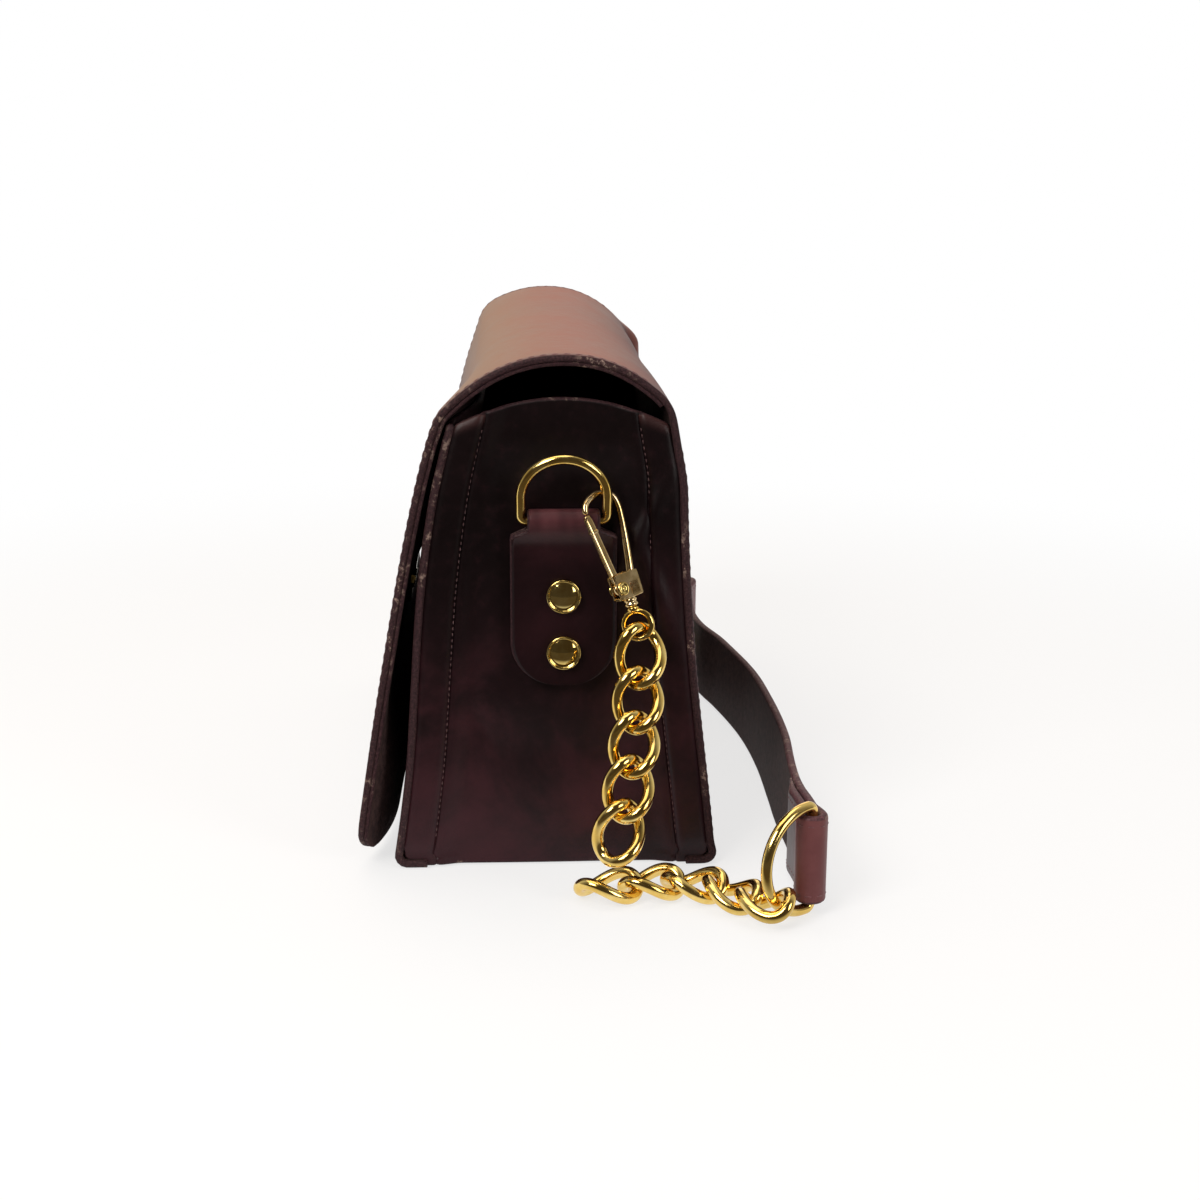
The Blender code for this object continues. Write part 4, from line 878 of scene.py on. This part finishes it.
# The end panel is a grid of depth and height. Its face is a sum of heights: a padded hem with quarter
# round sides along both edges, a groove beside it, a field that sinks in, and soft pulls and creases.
def makeGusset(side, word):
    notch = body["panel"] + 0.3 * mm
    heights = np.concatenate([[gusset["foot"], notch * 0.9], np.linspace(notch, gusset["topSide"], 130)])
    left = -innerDepth(frontLine, np.maximum(heights, body["footRadius"]))
    right = innerDepth(backLine, np.maximum(heights, body["footRadius"]))
    bend = body["footRadius"] - notch
    tuck = bend - np.sqrt(bend**2 - np.clip(body["footRadius"] - heights, 0, bend) ** 2)
    end = side * body["halfLength"]
    left, right = left + tuck + frontPull(end, left, heights), right - tuck - backPull(end, right, heights)
    width, border, seam = gusset["hemWidth"], gusset["border"], gusset["hemWidth"] + gusset["seamOff"]
    inner = np.linspace(0, 1, 60)[1:-1]
    depths = np.concatenate([
        left[:, None] + border, (left + border[-1])[:, None] + inner * (right - left - 2 * border[-1])[:, None],
        right[:, None] - border[::-1],
    ], 1)
    nearest = np.minimum(depths - left[:, None], right[:, None] - depths)
    # The two lowest rows end in the panels' feet
    limit = body["baseDepth"] - body["footWidth"] + 1.2 * mm
    past = np.clip(np.abs(depths) - limit, 0, None) * (heights < notch)[:, None]
    depths -= np.sign(depths) * past * 0.98
    onHem = nearest < width
    rise = gusset["hemRise"] * np.sqrt(np.clip(1 - ((nearest - width / 2) / (width / 2)) ** 6, 0, 1)) * onHem
    rise -= gusset["groove"] * np.exp(-((nearest - seam) / gusset["grooveWidth"]) ** 2)
    row = (heights - gusset["foot"]) / (gusset["topSide"] - gusset["foot"])
    bow = 1 - (2 * (depths - left[:, None]) / (right - left)[:, None] - 1) ** 2
    lifted = heights[:, None] + bow * row[:, None] * gusset["topRise"]
    aroundTab = ease(*gusset["besideTab"], np.abs(depths - tab["centreY"])) + ease(*gusset["aboveTab"], lifted)
    aroundTab += ease(*gusset["belowTab"], lifted - tab["bottom"])
    field = ease(width + 0.5 * mm, width + 9 * mm, nearest) * np.clip(aroundTab, 0, 1)
    rise -= gusset["hollow"] * field
    rise += gusset["ripple"] * ripple(depths * 60, lifted * 34, 21) * field
    # Two soft creases beside the tab's back edge, where the end folds when the bag is pressed
    for y, z, lean, reach in gusset["creases"]:
        offAxis = (depths - y) - lean * (lifted - z)
        rise += gusset["creaseRise"] * np.exp(-(offAxis / gusset["creaseWidth"]) ** 2 - ((lifted - z) / reach) ** 2)
    ends = ease(0, 6 * mm, heights - notch) * ease(0, 3 * mm, gusset["topSide"] + 0.6 * mm - heights)
    rise = np.where(rise > 0, rise * ends[:, None], rise)
    face = gusset["outerX"] - gusset["thickness"] / 2
    grid = np.stack([side * (face + rise), depths, lifted], -1)
    fray = ease(138 * mm, 144 * mm, heights)[:, None] * onHem * 0.55
    addSheet(f"gusset_{word}", grid, gusset["thickness"], bodyLeather, fold=fray)
    for edge, sign, place in ((left, 1, "Front"), (right, -1, "Back")):
        line = np.stack([
            np.full(len(heights), side * (gusset["outerX"] + 0.05 * mm)),
            edge + sign * seam,
            heights + (1 - (2 * (width / (right - left)) - 1) ** 2) * row * gusset["topRise"],
        ], 1)[8:-4]
        outward = np.tile([side, 0, 0], (len(line), 1))
        stitchRow(f"gussetStitches{place}{word.capitalize()}", line, outward, threadPale, "bag", *gusset["stitch"])


for side, word in rightAndLeft:
    makeGusset(side, word)
print("gussets made")


# Tabs, rivets and D-rings
ring = {
    "wire": 3.2 * mm,
    "inside": 23.0 * mm,
    "bar": joints["ring_right_hinge"]["pos_m"],
    "depth": 20.6 * mm,
    "corner": 2.0 * mm,
    "lean": radians(16),
    "clear": 0.05 * mm,    # keeps the hook off it as it tilts
}


def makeTab(side, word):
    half = tab["thickness"] / 2
    backX = gusset["outerX"] + tab["gap"] + half
    barX, barZ = ring["bar"][0], ring["bar"][2]
    loop = ring["wire"] / 2 + tab["gap"] + half
    frontLow = backX + tab["thickness"] + tab["gap"]
    turn = np.linspace(pi, 0, 28)
    back = np.stack([np.full(2, backX), [tab["bottom"], barZ - 2 * mm]], 1)
    loopLine = np.stack([barX + loop * np.cos(turn), barZ + loop * np.sin(turn)], 1)
    share = np.linspace(0, 1, 14)[1:]
    closing = frontLow + (barX + loop - frontLow) * (1 + np.cos(pi * share)) / 2
    taper = np.stack([closing, barZ - tab["taper"] * share], 1)
    front = np.stack([np.full(1, frontLow), [tab["bottom"]]], 1)
    # More rows near both ends, for the round corners
    path = np.vstack([back, loopLine, taper, front])
    share = np.linspace(0, 1, 260)
    share -= 0.9 * np.sin(2 * pi * share) / (2 * pi)
    reach = lengthsAlong(path)
    line = sampled(path, reach, share * reach[-1])
    heights = line[:, 1]
    neck, wide = tab["neck"] / 2, tab["width"] / 2
    shoulder = barZ - ring["wire"] / 2 - 0.6 * mm
    halfWidth = wide + (neck - wide) * ease(0, 1, (heights - shoulder + tab["shoulder"]) / tab["shoulder"])
    drop = np.clip(tab["corner"] - (heights - tab["bottom"]), 0, tab["corner"] * 0.999)
    halfWidth -= tab["corner"] - np.sqrt(tab["corner"] ** 2 - drop**2)
    share = np.linspace(-1, 1, 44)
    grid = np.zeros((len(line), 44, 3))
    grid[..., 0] = side * line[:, :1]
    grid[..., 1] = tab["centreY"] + halfWidth[:, None] * share
    grid[..., 2] = line[:, 1:]
    # A painted highlight over the fold round the ring, broken by fine wrinkles
    onLoop = np.exp(-((np.arange(len(line)) - np.argmax(heights)) / 9.0) ** 2)
    wrinkle = np.clip(ripple(grid[..., 1] * 900, np.arange(len(line))[:, None] * 0.25, 5), -1, 1)
    fold = onLoop[:, None] * (0.6 + 0.45 * wrinkle)
    between = (side * (backX + frontLow) / 2, tab["centreY"], tab["bottom"])
    addSheet(f"tab_{word}", grid, tab["thickness"], tabLeather, fold=np.clip(fold, 0, 1), centre=between)


def dRingPath(inside, wire, depth, corner):
    half = (inside + wire) / 2
    turn = np.linspace(0, pi, 60)
    bow = np.stack([half * np.cos(turn), depth - half + half * np.sin(turn)], 1)
    bend = np.linspace(0, pi / 2, 10)
    leg = np.stack([np.full(4, -half), np.linspace(depth - half, corner, 6)[1:-1]], 1)
    turned = np.stack([-half + corner - corner * np.cos(bend), corner - corner * np.sin(bend)], 1)
    left = np.vstack([leg, turned])
    bar = np.stack([np.linspace(-half + corner, half - corner, 14)[1:-1], np.zeros(12)], 1)
    return np.vstack([bow, left, bar, left[::-1] * (-1, 1)])


def placedPath(path, origin, across, up):
    return np.asarray(origin) + path[:, :1] * np.asarray(across) + path[:, 1:] * np.asarray(up)


def makeTabRing(side, word):
    origin = np.array(joints[f"ring_{word}_hinge"]["pos_m"])
    up = np.array([side * sin(ring["lean"]), 0, cos(ring["lean"])])
    across = np.array([0, 1, 0])
    path = dRingPath(ring["inside"], ring["wire"], ring["depth"], ring["corner"])
    points = placedPath(path, origin, across, up)
    shape = tubeShape(points, np.cross(across, up), ring["wire"] / 2 - ring["clear"], 28)
    addPiece(f"tab_ring_{word}", shape, polishedGold, f"ring_{word}")


rivet = {"cap": 10.7 * mm, "height": 2.0 * mm, "bead": 1.8 * mm, "dish": 0.9 * mm, "domeShare": 0.82}


# A domed cap with a raised bead round it, on each face of the gusset
def makeRivet(side, word, place):
    low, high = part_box(f"rivet_{place}_{word}")
    centre = (low + high) / 2
    outer, innerFace = (high.x, low.x) if side > 0 else (low.x, high.x)
    r = rivet["cap"] / 2
    shapes = []
    for tip, way in ((outer, side), (innerFace, -side)):
        seat = np.array([tip - way * rivet["height"], centre.y, centre.z])
        outwards = np.linspace(rivet["domeShare"], 0, 16)[:-1]
        rise = (rivet["height"] - rivet["dish"]) * (1 - (outwards / rivet["domeShare"]) ** 2)
        dome = [(rivet["dish"] + up, r * out) for up, out in zip(rise, outwards)]
        bead = rivet["bead"]
        profile = [(0, 0), (0, r * 0.985), (bead * 0.3, r), (bead * 0.65, r), (bead * 0.9, r * 0.985),
                   (bead, r * 0.945), (bead, r * 0.90), (bead * 0.90, r * 0.86), *dome, (rivet["height"], 0)]
        shapes.append(turnedShape(profile, seat, (way, 0, 0), 56))
    addPiece(f"rivet_{place}_{word}", joinShapes(shapes), rivetGold)


for side, word in rightAndLeft:
    makeTab(side, word)
    makeTabRing(side, word)
    for place in ("lower", "upper"):
        makeRivet(side, word, place)
print("tabs made")

# Clasps
clasp = {
    "top": (113.9 * mm, 12.5 * mm, 121.5 * mm),
    "down": (0.160, 0.294, -0.941),
    "face": (0.771, 0.559, 0.306),
    "wire": 2.0 * mm,
    "bar": 2.9 * mm,
    "halfWidth": 6.4 * mm,
    "length": 27.0 * mm,
    "baseHeight": 5.4 * mm,
    "cheekRise": 2.6 * mm,
    "baseWidth": 9.2 * mm,
    "baseDepth": 4.0 * mm,
    "neck": 4.6 * mm,
    "neckHeight": 2.8 * mm,
    "gap": 0.3 * mm,
    "gate": 1.8 * mm,
    "gateEye": 2.0 * mm,
    "plateHalf": 0.45 * mm,   # half the height of the plate that closes the base
    "swivelWire": 1.9 * mm,
    "swivelSize": 10.4 * mm,
    "swivelTurn": radians(50),
    "hook": ((0.42, 1.01), (0.62, 0.80), (0.82, 0.55), (0.97, 0.32), (1.00, 0.17), (0.86, 0.055), (0.50, -0.005),
             (0.00, -0.03), (-0.50, 0.00), (-0.86, 0.055), (-1.00, 0.125)),
    "gateLine": ((-1.02, 0.170), (-0.44, 1.05)),
    "pinHead": 2.1 * mm,      # radii
    "pinShaft": 1.0 * mm,
}


def claspFrame(side):
    mirror = np.array([side, 1, 1])
    down = unit(clasp["down"])
    face = unit(np.asarray(clasp["face"]) - np.dot(clasp["face"], down) * down)
    across = np.cross(face, down)
    if across[1] < 0:
        across = -across
    return np.asarray(clasp["top"]) * mirror, across * mirror, down * mirror, face * mirror


# A block with rounded edges: a cube's grid pushed out to a superellipsoid.
def boxShape(centre, x, y, z, rounding):
    n = 9
    t = np.linspace(-1, 1, n)
    a, b = np.meshgrid(t, t, indexing="ij")
    shapes = []
    for axis in range(3):
        for sign in (-1, 1):
            cube = np.zeros((n, n, 3))
            cube[..., axis] = sign
            cube[..., (axis + 1) % 3], cube[..., (axis + 2) % 3] = a, b
            shapes.append(cube)
    points = np.concatenate([cube.reshape(-1, 3) for cube in shapes])
    inner = np.clip(points, -(1 - rounding), 1 - rounding)
    points = inner + rounding * unit(points - inner + 1e-9 * points)
    faces = []
    for k in range(6):
        quads = gridQuads(n, n, k * n * n)
        faces.append(quads if k % 2 else quads[:, ::-1])
    placed = np.asarray(centre) + points[:, :1] * x + points[:, 1:2] * y + points[:, 2:] * z
    return placed, faces


def makeClasp(side, word):
    origin, right, down, face = claspFrame(side)
    guides = np.array([(a * clasp["halfWidth"], b * clasp["length"]) for a, b in clasp["hook"]])
    curve = resampled(smoothCurve(guides, 12), 70)
    share = np.linspace(0, 1, len(curve))
    radius = (clasp["bar"] + (clasp["wire"] - clasp["bar"]) * np.clip(share * 2, 0, 1)) / 2
    hook = tubeShape(placedPath(curve, origin, right, down), face, radius, 20, False)
    reach, baseHeight = clasp["length"], clasp["baseHeight"]
    plates = []
    pivot = np.array([clasp["gateLine"][1][0] * clasp["halfWidth"], reach + clasp["gateEye"]])
    slotHalf = clasp["gate"] / 2 + clasp["gap"]
    cheek = clasp["baseDepth"] / 2 - slotHalf
    for sign in (-1, 1):
        plate = (baseHeight + clasp["cheekRise"]) / 2
        centre = origin + (reach + baseHeight - plate) * down + sign * (slotHalf + cheek / 2) * face
        plates.append(boxShape(centre, right * clasp["baseWidth"] / 2, down * plate, face * cheek / 2, 0.18))
    fill = clasp["baseWidth"] / 2 - (pivot[0] + clasp["gateEye"] + clasp["gap"])
    plates.append(boxShape(
        origin + (reach + baseHeight / 2) * down + (clasp["baseWidth"] / 2 - fill / 2) * right,
        right * fill / 2, down * baseHeight / 2, face * clasp["baseDepth"] / 2, 0.18,
    ))
    plates.append(boxShape(
        origin + (reach + baseHeight - clasp["plateHalf"]) * down, right * clasp["baseWidth"] / 2,
        down * clasp["plateHalf"], face * clasp["baseDepth"] / 2, 0.3,
    ))
    neckTop = reach + baseHeight
    r = clasp["neck"] / 2
    neck = turnedShape([
        (-1 * mm, 0), (-1 * mm, r * 0.85), (0.1 * mm, r * 0.85), (0.5 * mm, r), (0.9 * mm, r), (1.2 * mm, r * 0.86),
        (1.5 * mm, r * 0.86), (1.8 * mm, r), (2.3 * mm, r), (2.8 * mm, r * 0.8), (2.8 * mm, 0),
    ], origin + neckTop * down, down, 32)
    addPiece(f"clasp_hook_{word}", joinShapes([hook, *plates, neck]), claspGold, f"clasp_{word}")

    start = origin + pivot[0] * right + pivot[1] * down
    nose = np.array([clasp["gateLine"][0][0] * clasp["halfWidth"], clasp["gateLine"][0][1] * reach])
    end = origin + nose[0] * right + nose[1] * down
    way = unit(end - start)
    cross = np.cross(face, way)
    length = np.linalg.norm(end - start)
    h = clasp["gate"] / 2
    root = 0.6 * mm
    stem = boxShape(
        start + way * (length / 2 + root), way * (length / 2 - root), cross * h * 1.3, face * h * 0.96, 0.35,
    )
    wide = clasp["gateEye"]
    eyeProfile = [(-h, 0), (-h, wide * 0.92), (-h * 0.8, wide), (h * 0.8, wide), (h, wide * 0.92), (h, 0)]
    eye = turnedShape(eyeProfile, start, face, 32)
    collar = boxShape(start + way * length * 0.78, way * 0.55 * mm, cross * h * 1.6, face * h * 1.25, 0.4)
    addPiece(f"clasp_gate_{word}", joinShapes([stem, eye, collar]), claspGold, f"gate_{word}")

    # A shaft with a head on each side, the outer one with a ring cut into it
    pinHalf, head, shaft = clasp["baseDepth"] / 2, clasp["pinHead"], clasp["pinShaft"]
    cut = ((0.35 * mm, head), (0.6 * mm, 1.8 * mm), (0.6 * mm, 1.5 * mm), (0.25 * mm, 1.3 * mm),
           (0.25 * mm, 0.7 * mm), (0.5 * mm, 0.5 * mm), (0.5 * mm, 0))
    pinProfile = [(-pinHalf - 0.6 * mm, 0), (-pinHalf - 0.6 * mm, 1.4 * mm), (-pinHalf - 0.3 * mm, head),
                  (-pinHalf, head), (-pinHalf, shaft), (pinHalf, shaft), (pinHalf, head),
                  *[(pinHalf + out, size) for out, size in cut]]
    addPiece(f"clasp_pin_{word}", turnedShape(pinProfile, start, face, 32), rivetGold, f"clasp_{word}", "pin_metal")

    half = clasp["swivelWire"] / 2
    middle = neckTop + clasp["neckHeight"] + 0.7 * mm + clasp["swivelSize"] / 2
    turn = np.arange(60) / 60 * 2 * pi
    bow = clasp["swivelSize"] / 2 - half
    eyePath = np.stack([bow * np.sin(turn), middle - bow * np.cos(turn)], 1)
    eyeAcross = cos(clasp["swivelTurn"]) * right + sin(clasp["swivelTurn"]) * face
    ringShape = tubeShape(placedPath(eyePath, origin, eyeAcross, down), np.cross(eyeAcross, down), half, 18)
    collar = turnedShape([
        (0, 0), (0, 1.9 * mm), (0.2 * mm, 1.95 * mm), (0.8 * mm, 1.9 * mm), (1.4 * mm, 1.3 * mm), (1.8 * mm, 1.1 * mm),
        (1.8 * mm, 0),
    ], origin + (neckTop + clasp["neckHeight"] + 0.3 * mm) * down, down, 28)
    addPiece(f"clasp_swivel_{word}", joinShapes([ringShape, collar]), polishedGold, f"swivel_{word}")


for side, word in rightAndLeft:
    makeClasp(side, word)
print("clasps made")

# Chains
link = {
    "halfLength": 9.0 * mm,
    "halfWidth": 6.3 * mm,
    "wire": 3.8 * mm,
    "twist": radians(45),
    "play": 0.7 * mm,
    "rest": 4.6 * mm,
    "lastTouch": (141.1 * mm, 16.3 * mm, 16.5 * mm),
    "floorStart": (138.0 * mm, 8.5 * mm),
    "headings": (radians(95), radians(100), radians(72), radians(42), radians(38)),
    "climb": radians(8),
    "farInset": 10.5 * mm,   # the left hand chain lies this much nearer to the front
}
link["pitch"] = 2 * link["halfLength"] - link["wire"] - link["play"]


# A curb link between two touching points: an oval whose width turns about its length.
def linkShape(start, end, up, hand):
    centre = (start + end) / 2
    along = unit(end - start)
    across = unit(np.cross(up, along))
    over = np.cross(along, across)
    turn = np.arange(72) / 72 * 2 * pi
    length = link["halfLength"] * np.cos(turn)
    width = link["halfWidth"] * np.sin(turn) * (1 + 0.12 * np.cos(turn) ** 2)
    twist = hand * link["twist"] * np.cos(turn)
    line = (centre + length[:, None] * along + (width * np.cos(twist))[:, None] * across
            + (width * np.sin(twist))[:, None] * over)
    return tubeShape(line, unit(line - centre), link["wire"] / 2, 22)


def floorTouches(side):
    points = [np.array([*link["floorStart"], link["rest"]])]
    for number, heading in enumerate(link["headings"]):
        climb = link["climb"] if number == len(link["headings"]) - 1 else 0
        way = np.array([cos(heading) * cos(climb), sin(heading) * cos(climb), sin(climb)])
        points.append(points[-1] + link["pitch"] * way)
    return np.array(points) * (side, 1, 1) - np.array([0, link["farInset"] if side < 0 else 0, 0])


def makeChain(side, word):
    hanging = [joint["pos_m"] for name, joint in joints.items() if name.startswith("link_") and word in name]
    touches = np.array([*hanging, np.array(link["lastTouch"]) * (side, 1, 1)])
    for number in range(len(hanging)):
        shape = linkShape(touches[number], touches[number + 1], np.array([side, 0, 0]), side)
        addPiece(f"hanging_link_{number + 1}_{word}", shape, polishedGold, f"link_{number + 1}_{word}")
    floor = floorTouches(side)
    for number in range(len(floor) - 1):
        shape = linkShape(floor[number], floor[number + 1], np.array([0, 0, 1]), side)
        addPiece(f"floor_link_{number + 1}_{word}", shape, polishedGold)


for side, word in rightAndLeft:
    makeChain(side, word)
print("chains made")

# Strap
strap = {
    "width": 28.0 * mm,
    "thickness": 2.8 * mm,
    "gap": 0.3 * mm,
    "ringWire": 3.4 * mm,
    "ringInside": 29.0 * mm,
    "ringDepth": 19.0 * mm,
    "lap": 42.0 * mm,
    "skive": 0.8,          # share of the thickness that is pared off the lap's free end
    "skived": 14.0 * mm,   # and over what length
    "lift": 45.0 * mm,
    "taper": 11.0 * mm,
    "catch": radians(-45),
    "behind": 25.4 * mm,
    "route": ((-1.171, 0.455), (-0.980, 0.420), (-0.753, 0.480), (-0.517, 0.700), (-0.172, 0.925),
              (0.172, 1.000), (0.499, 1.000), (0.753, 0.961), (0.980, 0.941), (1.180, 0.941)),
    "lean": 1.6 * mm,      # the upper edge leans out this far
    "border": 2.4 * mm,
}


def strapRingPlace(side):
    floor = floorTouches(side)
    along = unit(floor[-1] - floor[-2])
    caught = floor[-1] - along * (strap["ringWire"] + link["play"]) / 2
    out = side * unit([along[1], -along[0]])
    half = (strap["ringInside"] + strap["ringWire"]) / 2
    reach = strap["ringDepth"] - half + half * cos(strap["catch"])
    return caught[:2] - reach * out, out


def makeStrapRing(side, word):
    bar, way = strapRingPlace(side)
    half = (strap["ringInside"] + strap["ringWire"]) / 2
    origin = np.array([*bar, half + strap["ringWire"] / 2])
    out, up = np.array([*way, 0]), np.array([0, 0, 1.0])
    path = dRingPath(strap["ringInside"], strap["ringWire"], strap["ringDepth"], ring["corner"])
    shape = tubeShape(placedPath(path, origin, up, out), np.cross(up, out), strap["ringWire"] / 2, 28)
    addPiece(f"strap_ring_{word}", shape, polishedGold)


def makeStrap():
    half = strap["thickness"] / 2
    loop = strap["ringWire"] / 2 + strap["gap"] + half
    ends = [strapRingPlace(side)[0] for side in (-1, 1)]
    shares = np.array(strap["route"])
    route = np.stack([shares[:, 0] * body["halfLength"], body["baseDepth"] + shares[:, 1] * strap["behind"]], 1)
    guides = [ends[0], *route, ends[1]]
    middle = smoothCurve(guides, 26)
    along = lengthsAlong(middle)
    left = leftNormals(middle)
    fromEnd = np.minimum(along, along[-1] - along)
    close = (strap["thickness"] + strap["gap"]) / 2

    def spread(distance):
        share = np.clip(distance / strap["taper"], 0, 1)
        return close + (loop - close) * (1 + np.cos(pi * share)) / 2

    main = middle + left * spread(fromEnd)[:, None]
    plan = []
    for end in (0, 1):
        points, sides = (middle, left) if end == 0 else (middle[::-1], left[::-1])
        reach = lengthsAlong(points)
        stops = np.linspace(0, strap["lap"], 36)
        base, offs = sampled(points, reach, stops), sampled(sides, reach, stops)
        thin = 1 - strap["skive"] * ease(strap["lap"] - strap["skived"], strap["lap"], stops)
        lap = base - offs * (spread(stops) - strap["thickness"] * (1 - thin) / 2)[:, None]
        outward = unit(points[0] - points[1])
        turn = np.linspace(-pi / 2, pi / 2, 16)[1:-1]
        bend = points[0] + loop * (np.cos(turn)[:, None] * outward + np.sin(turn)[:, None] * sides[0])
        shares = np.concatenate([thin[::-1], np.ones(len(bend))])
        plan.append(np.column_stack([np.vstack([lap[::-1], bend]), shares * strap["thickness"]]))
    line = np.vstack([plan[0], np.column_stack([main, np.full(len(main), strap["thickness"])]), plan[1][::-1]])
    line = resampled(line, 420)
    line, thinned = line[:, :2], line[:, 2:]
    nearest = np.array([np.argmin(np.linalg.norm(middle - point, axis=1)) for point in line])
    lift = strap["ringWire"] + (strap["ringInside"] - strap["width"]) / 2
    share = np.clip(fromEnd[nearest] / strap["lift"], 0, 1)
    height = lift * (1 + np.cos(pi * share)) / 2 + strap["width"] / 2
    up = np.linspace(-1, 1, 20) * strap["width"] / 2
    grid = np.zeros((len(line), len(up), 3))
    grid[..., :2] = line[:, None]
    grid[..., 2] = height[:, None] + up
    free = ease(strap["lap"], 2 * strap["lap"], fromEnd[nearest])[:, None]
    grid[..., 1] += free * strap["lean"] * up / strap["width"] * 2
    grid[..., 1] += free * 0.5 * mm * ripple(grid[..., 0] * 60, grid[..., 2] * 60, 17)
    bend = np.exp(-((fromEnd[nearest] - 2 * mm) / (9 * mm)) ** 2)[:, None] * np.ones(len(up))
    addSheet("strap", grid, thinned, strapLeather, fold=0.8 * bend, centre=(0, -1, 0))
    # Stitches along both edges of the outer face and through the folded ends
    normal = gridNormals(grid)
    middleRow = len(line) // 2
    outward = normal if normal[middleRow, 10, 1] > 0 else -normal
    face = grid + outward * thinned[:, :, None] / 2
    column = int(round(strap["border"] / (up[1] - up[0])))
    for number, edge in enumerate((column, len(up) - 1 - column)):
        stitchRow(f"strapStitches{number + 1}", face[:, edge], outward[:, edge], threadDark, "bag")


for side, word in rightAndLeft:
    makeStrapRing(side, word)
makeStrap()
print("strap made")

# Snap
for node in ("snap_cup", "snap_stud"):
    snapPart = frame["nodes"][node]
    snapPart.data.materials.clear()
    snapPart.data.materials.append(rivetGold)

# Floor, light and world
light = {
    "floorHalf": 7.0,
    "floorFront": 0.42,        # the floor ends here on the side that the picture is taken from
    "floorLow": -0.2 * mm,
    "floorWhite": (0.88, 0.88, 0.88),
    "shadowKept": 0.30,        # share of the lit floor that the camera sees beside the object
    "mirrorFrom": 0.14,        # metal mirrors a dark floor from here on
    "mirrorTo": 0.19,
    "shadowFrom": 0.22,
    "shadowTo": 0.60,
    "roomDark": (0.085, 0.070, 0.056),
    "roomWhite": (1.0, 0.985, 0.96),
    "roomLevel": 0.62,
    "lamps": {                 # place, target, width, depth, watts, colour
        "lampKey": ((0.80, -0.55, 0.80), (0.1, 0, 0.06), 0.5, 0.5, 8.5, (1.0, 0.96, 0.92)),
        "lampSide": ((0.75, 0.75, 0.40), (0.1, 0.03, 0.05), 0.4, 0.5, 3.4, (1.0, 0.97, 0.95)),
        "lampTop": ((-0.05, -0.15, 1.0), (0, 0, 0.12), 1.0, 0.8, 4.2, (1.0, 0.90, 0.80)),
        "lampBack": ((-1.15, -0.40, 0.62), (0, 0, 0.14), 1.9, 0.8, 3.9, (1.0, 0.76, 0.56)),
    },
}


# The floor is pale and keeps the shadow near the object; farther out the camera, and what metal
# mirrors, see plain white
def makeFloor():
    size = light["floorHalf"]
    front = light["floorFront"]
    points = np.array([(-size, -size, 0), (front, -size, 0), (front, size, 0), (-size, size, 0)])
    points[:, 2] = light["floorLow"]
    s = Shade("floorWhite")
    place = s.objectPlace()
    reach = s.add("ShaderNodeVectorMath", {"operation": "LENGTH"}, {0: place}, "Value")
    s.finish(Base_Color=light["floorWhite"], Roughness=0.8)
    ray = s.tree.nodes.new("ShaderNodeLightPath")
    seen = (Sock(s, ray.outputs["Is Camera Ray"]) + Sock(s, ray.outputs["Is Glossy Ray"])
            + Sock(s, ray.outputs["Is Transmission Ray"])).limited()
    nearCamera = s.part(place, "X").between(light["mirrorFrom"], light["mirrorTo"])
    nearCamera = Sock(s, ray.outputs["Is Glossy Ray"]) * nearCamera
    kept = 1 - light["shadowKept"] * (1 - reach.between(light["shadowFrom"], light["shadowTo"])) * (1 - nearCamera)
    glow = s.add("ShaderNodeEmission", {}, {"Color": s.mix(nearCamera, (1, 1, 1), light["roomDark"]), "Strength": 1.0})
    mixed = s.add("ShaderNodeMixShader", {}, {0: seen * kept, 1: Sock(s, s.shader.outputs[0]), 2: glow})
    s.put(s.tree.nodes["Material Output"].inputs["Surface"], mixed)
    makeMesh("floor", points, [np.array([[0, 1, 2, 3]])], s.material)


# White for the camera. For light and reflections a white room behind the object, which gets dark on
# the side that the picture is taken from
def makeWorld():
    world = bpy.data.worlds.new("world")
    bpy.context.scene.world = world
    s = Shade("world", world)
    way = s.add("ShaderNodeTexCoord", {}, {}, "Generated")
    behind = s.part(way, "X").between(0.55, -0.45)
    room = s.add("ShaderNodeBackground", {}, {
        "Color": s.mix(behind, light["roomDark"], light["roomWhite"]), "Strength": light["roomLevel"],
    })
    white = s.add("ShaderNodeBackground", {}, {"Color": (1, 1, 1), "Strength": 1.0})
    ray = s.tree.nodes.new("ShaderNodeLightPath")
    mixed = s.add("ShaderNodeMixShader", {}, {0: Sock(s, ray.outputs["Is Camera Ray"]), 1: room, 2: white})
    s.put(s.tree.nodes["World Output"].inputs["Surface"], mixed)


def makeLamp(name, place, target, width, depth, power, colour):
    data = bpy.data.lights.new(name, "AREA")
    data.shape, data.size, data.size_y = "RECTANGLE", width, depth
    data.energy, data.color = power, colour
    lamp = bpy.data.objects.new(name, data)
    lamp.location = place
    lamp.rotation_euler = (Vector(target) - Vector(place)).to_track_quat("-Z", "Y").to_euler()
    bpy.context.scene.collection.objects.link(lamp)


makeFloor()
makeWorld()
for name, values in light["lamps"].items():
    makeLamp(name, *values)
bpy.context.scene.view_settings.view_transform = "Standard"
print("stage made")
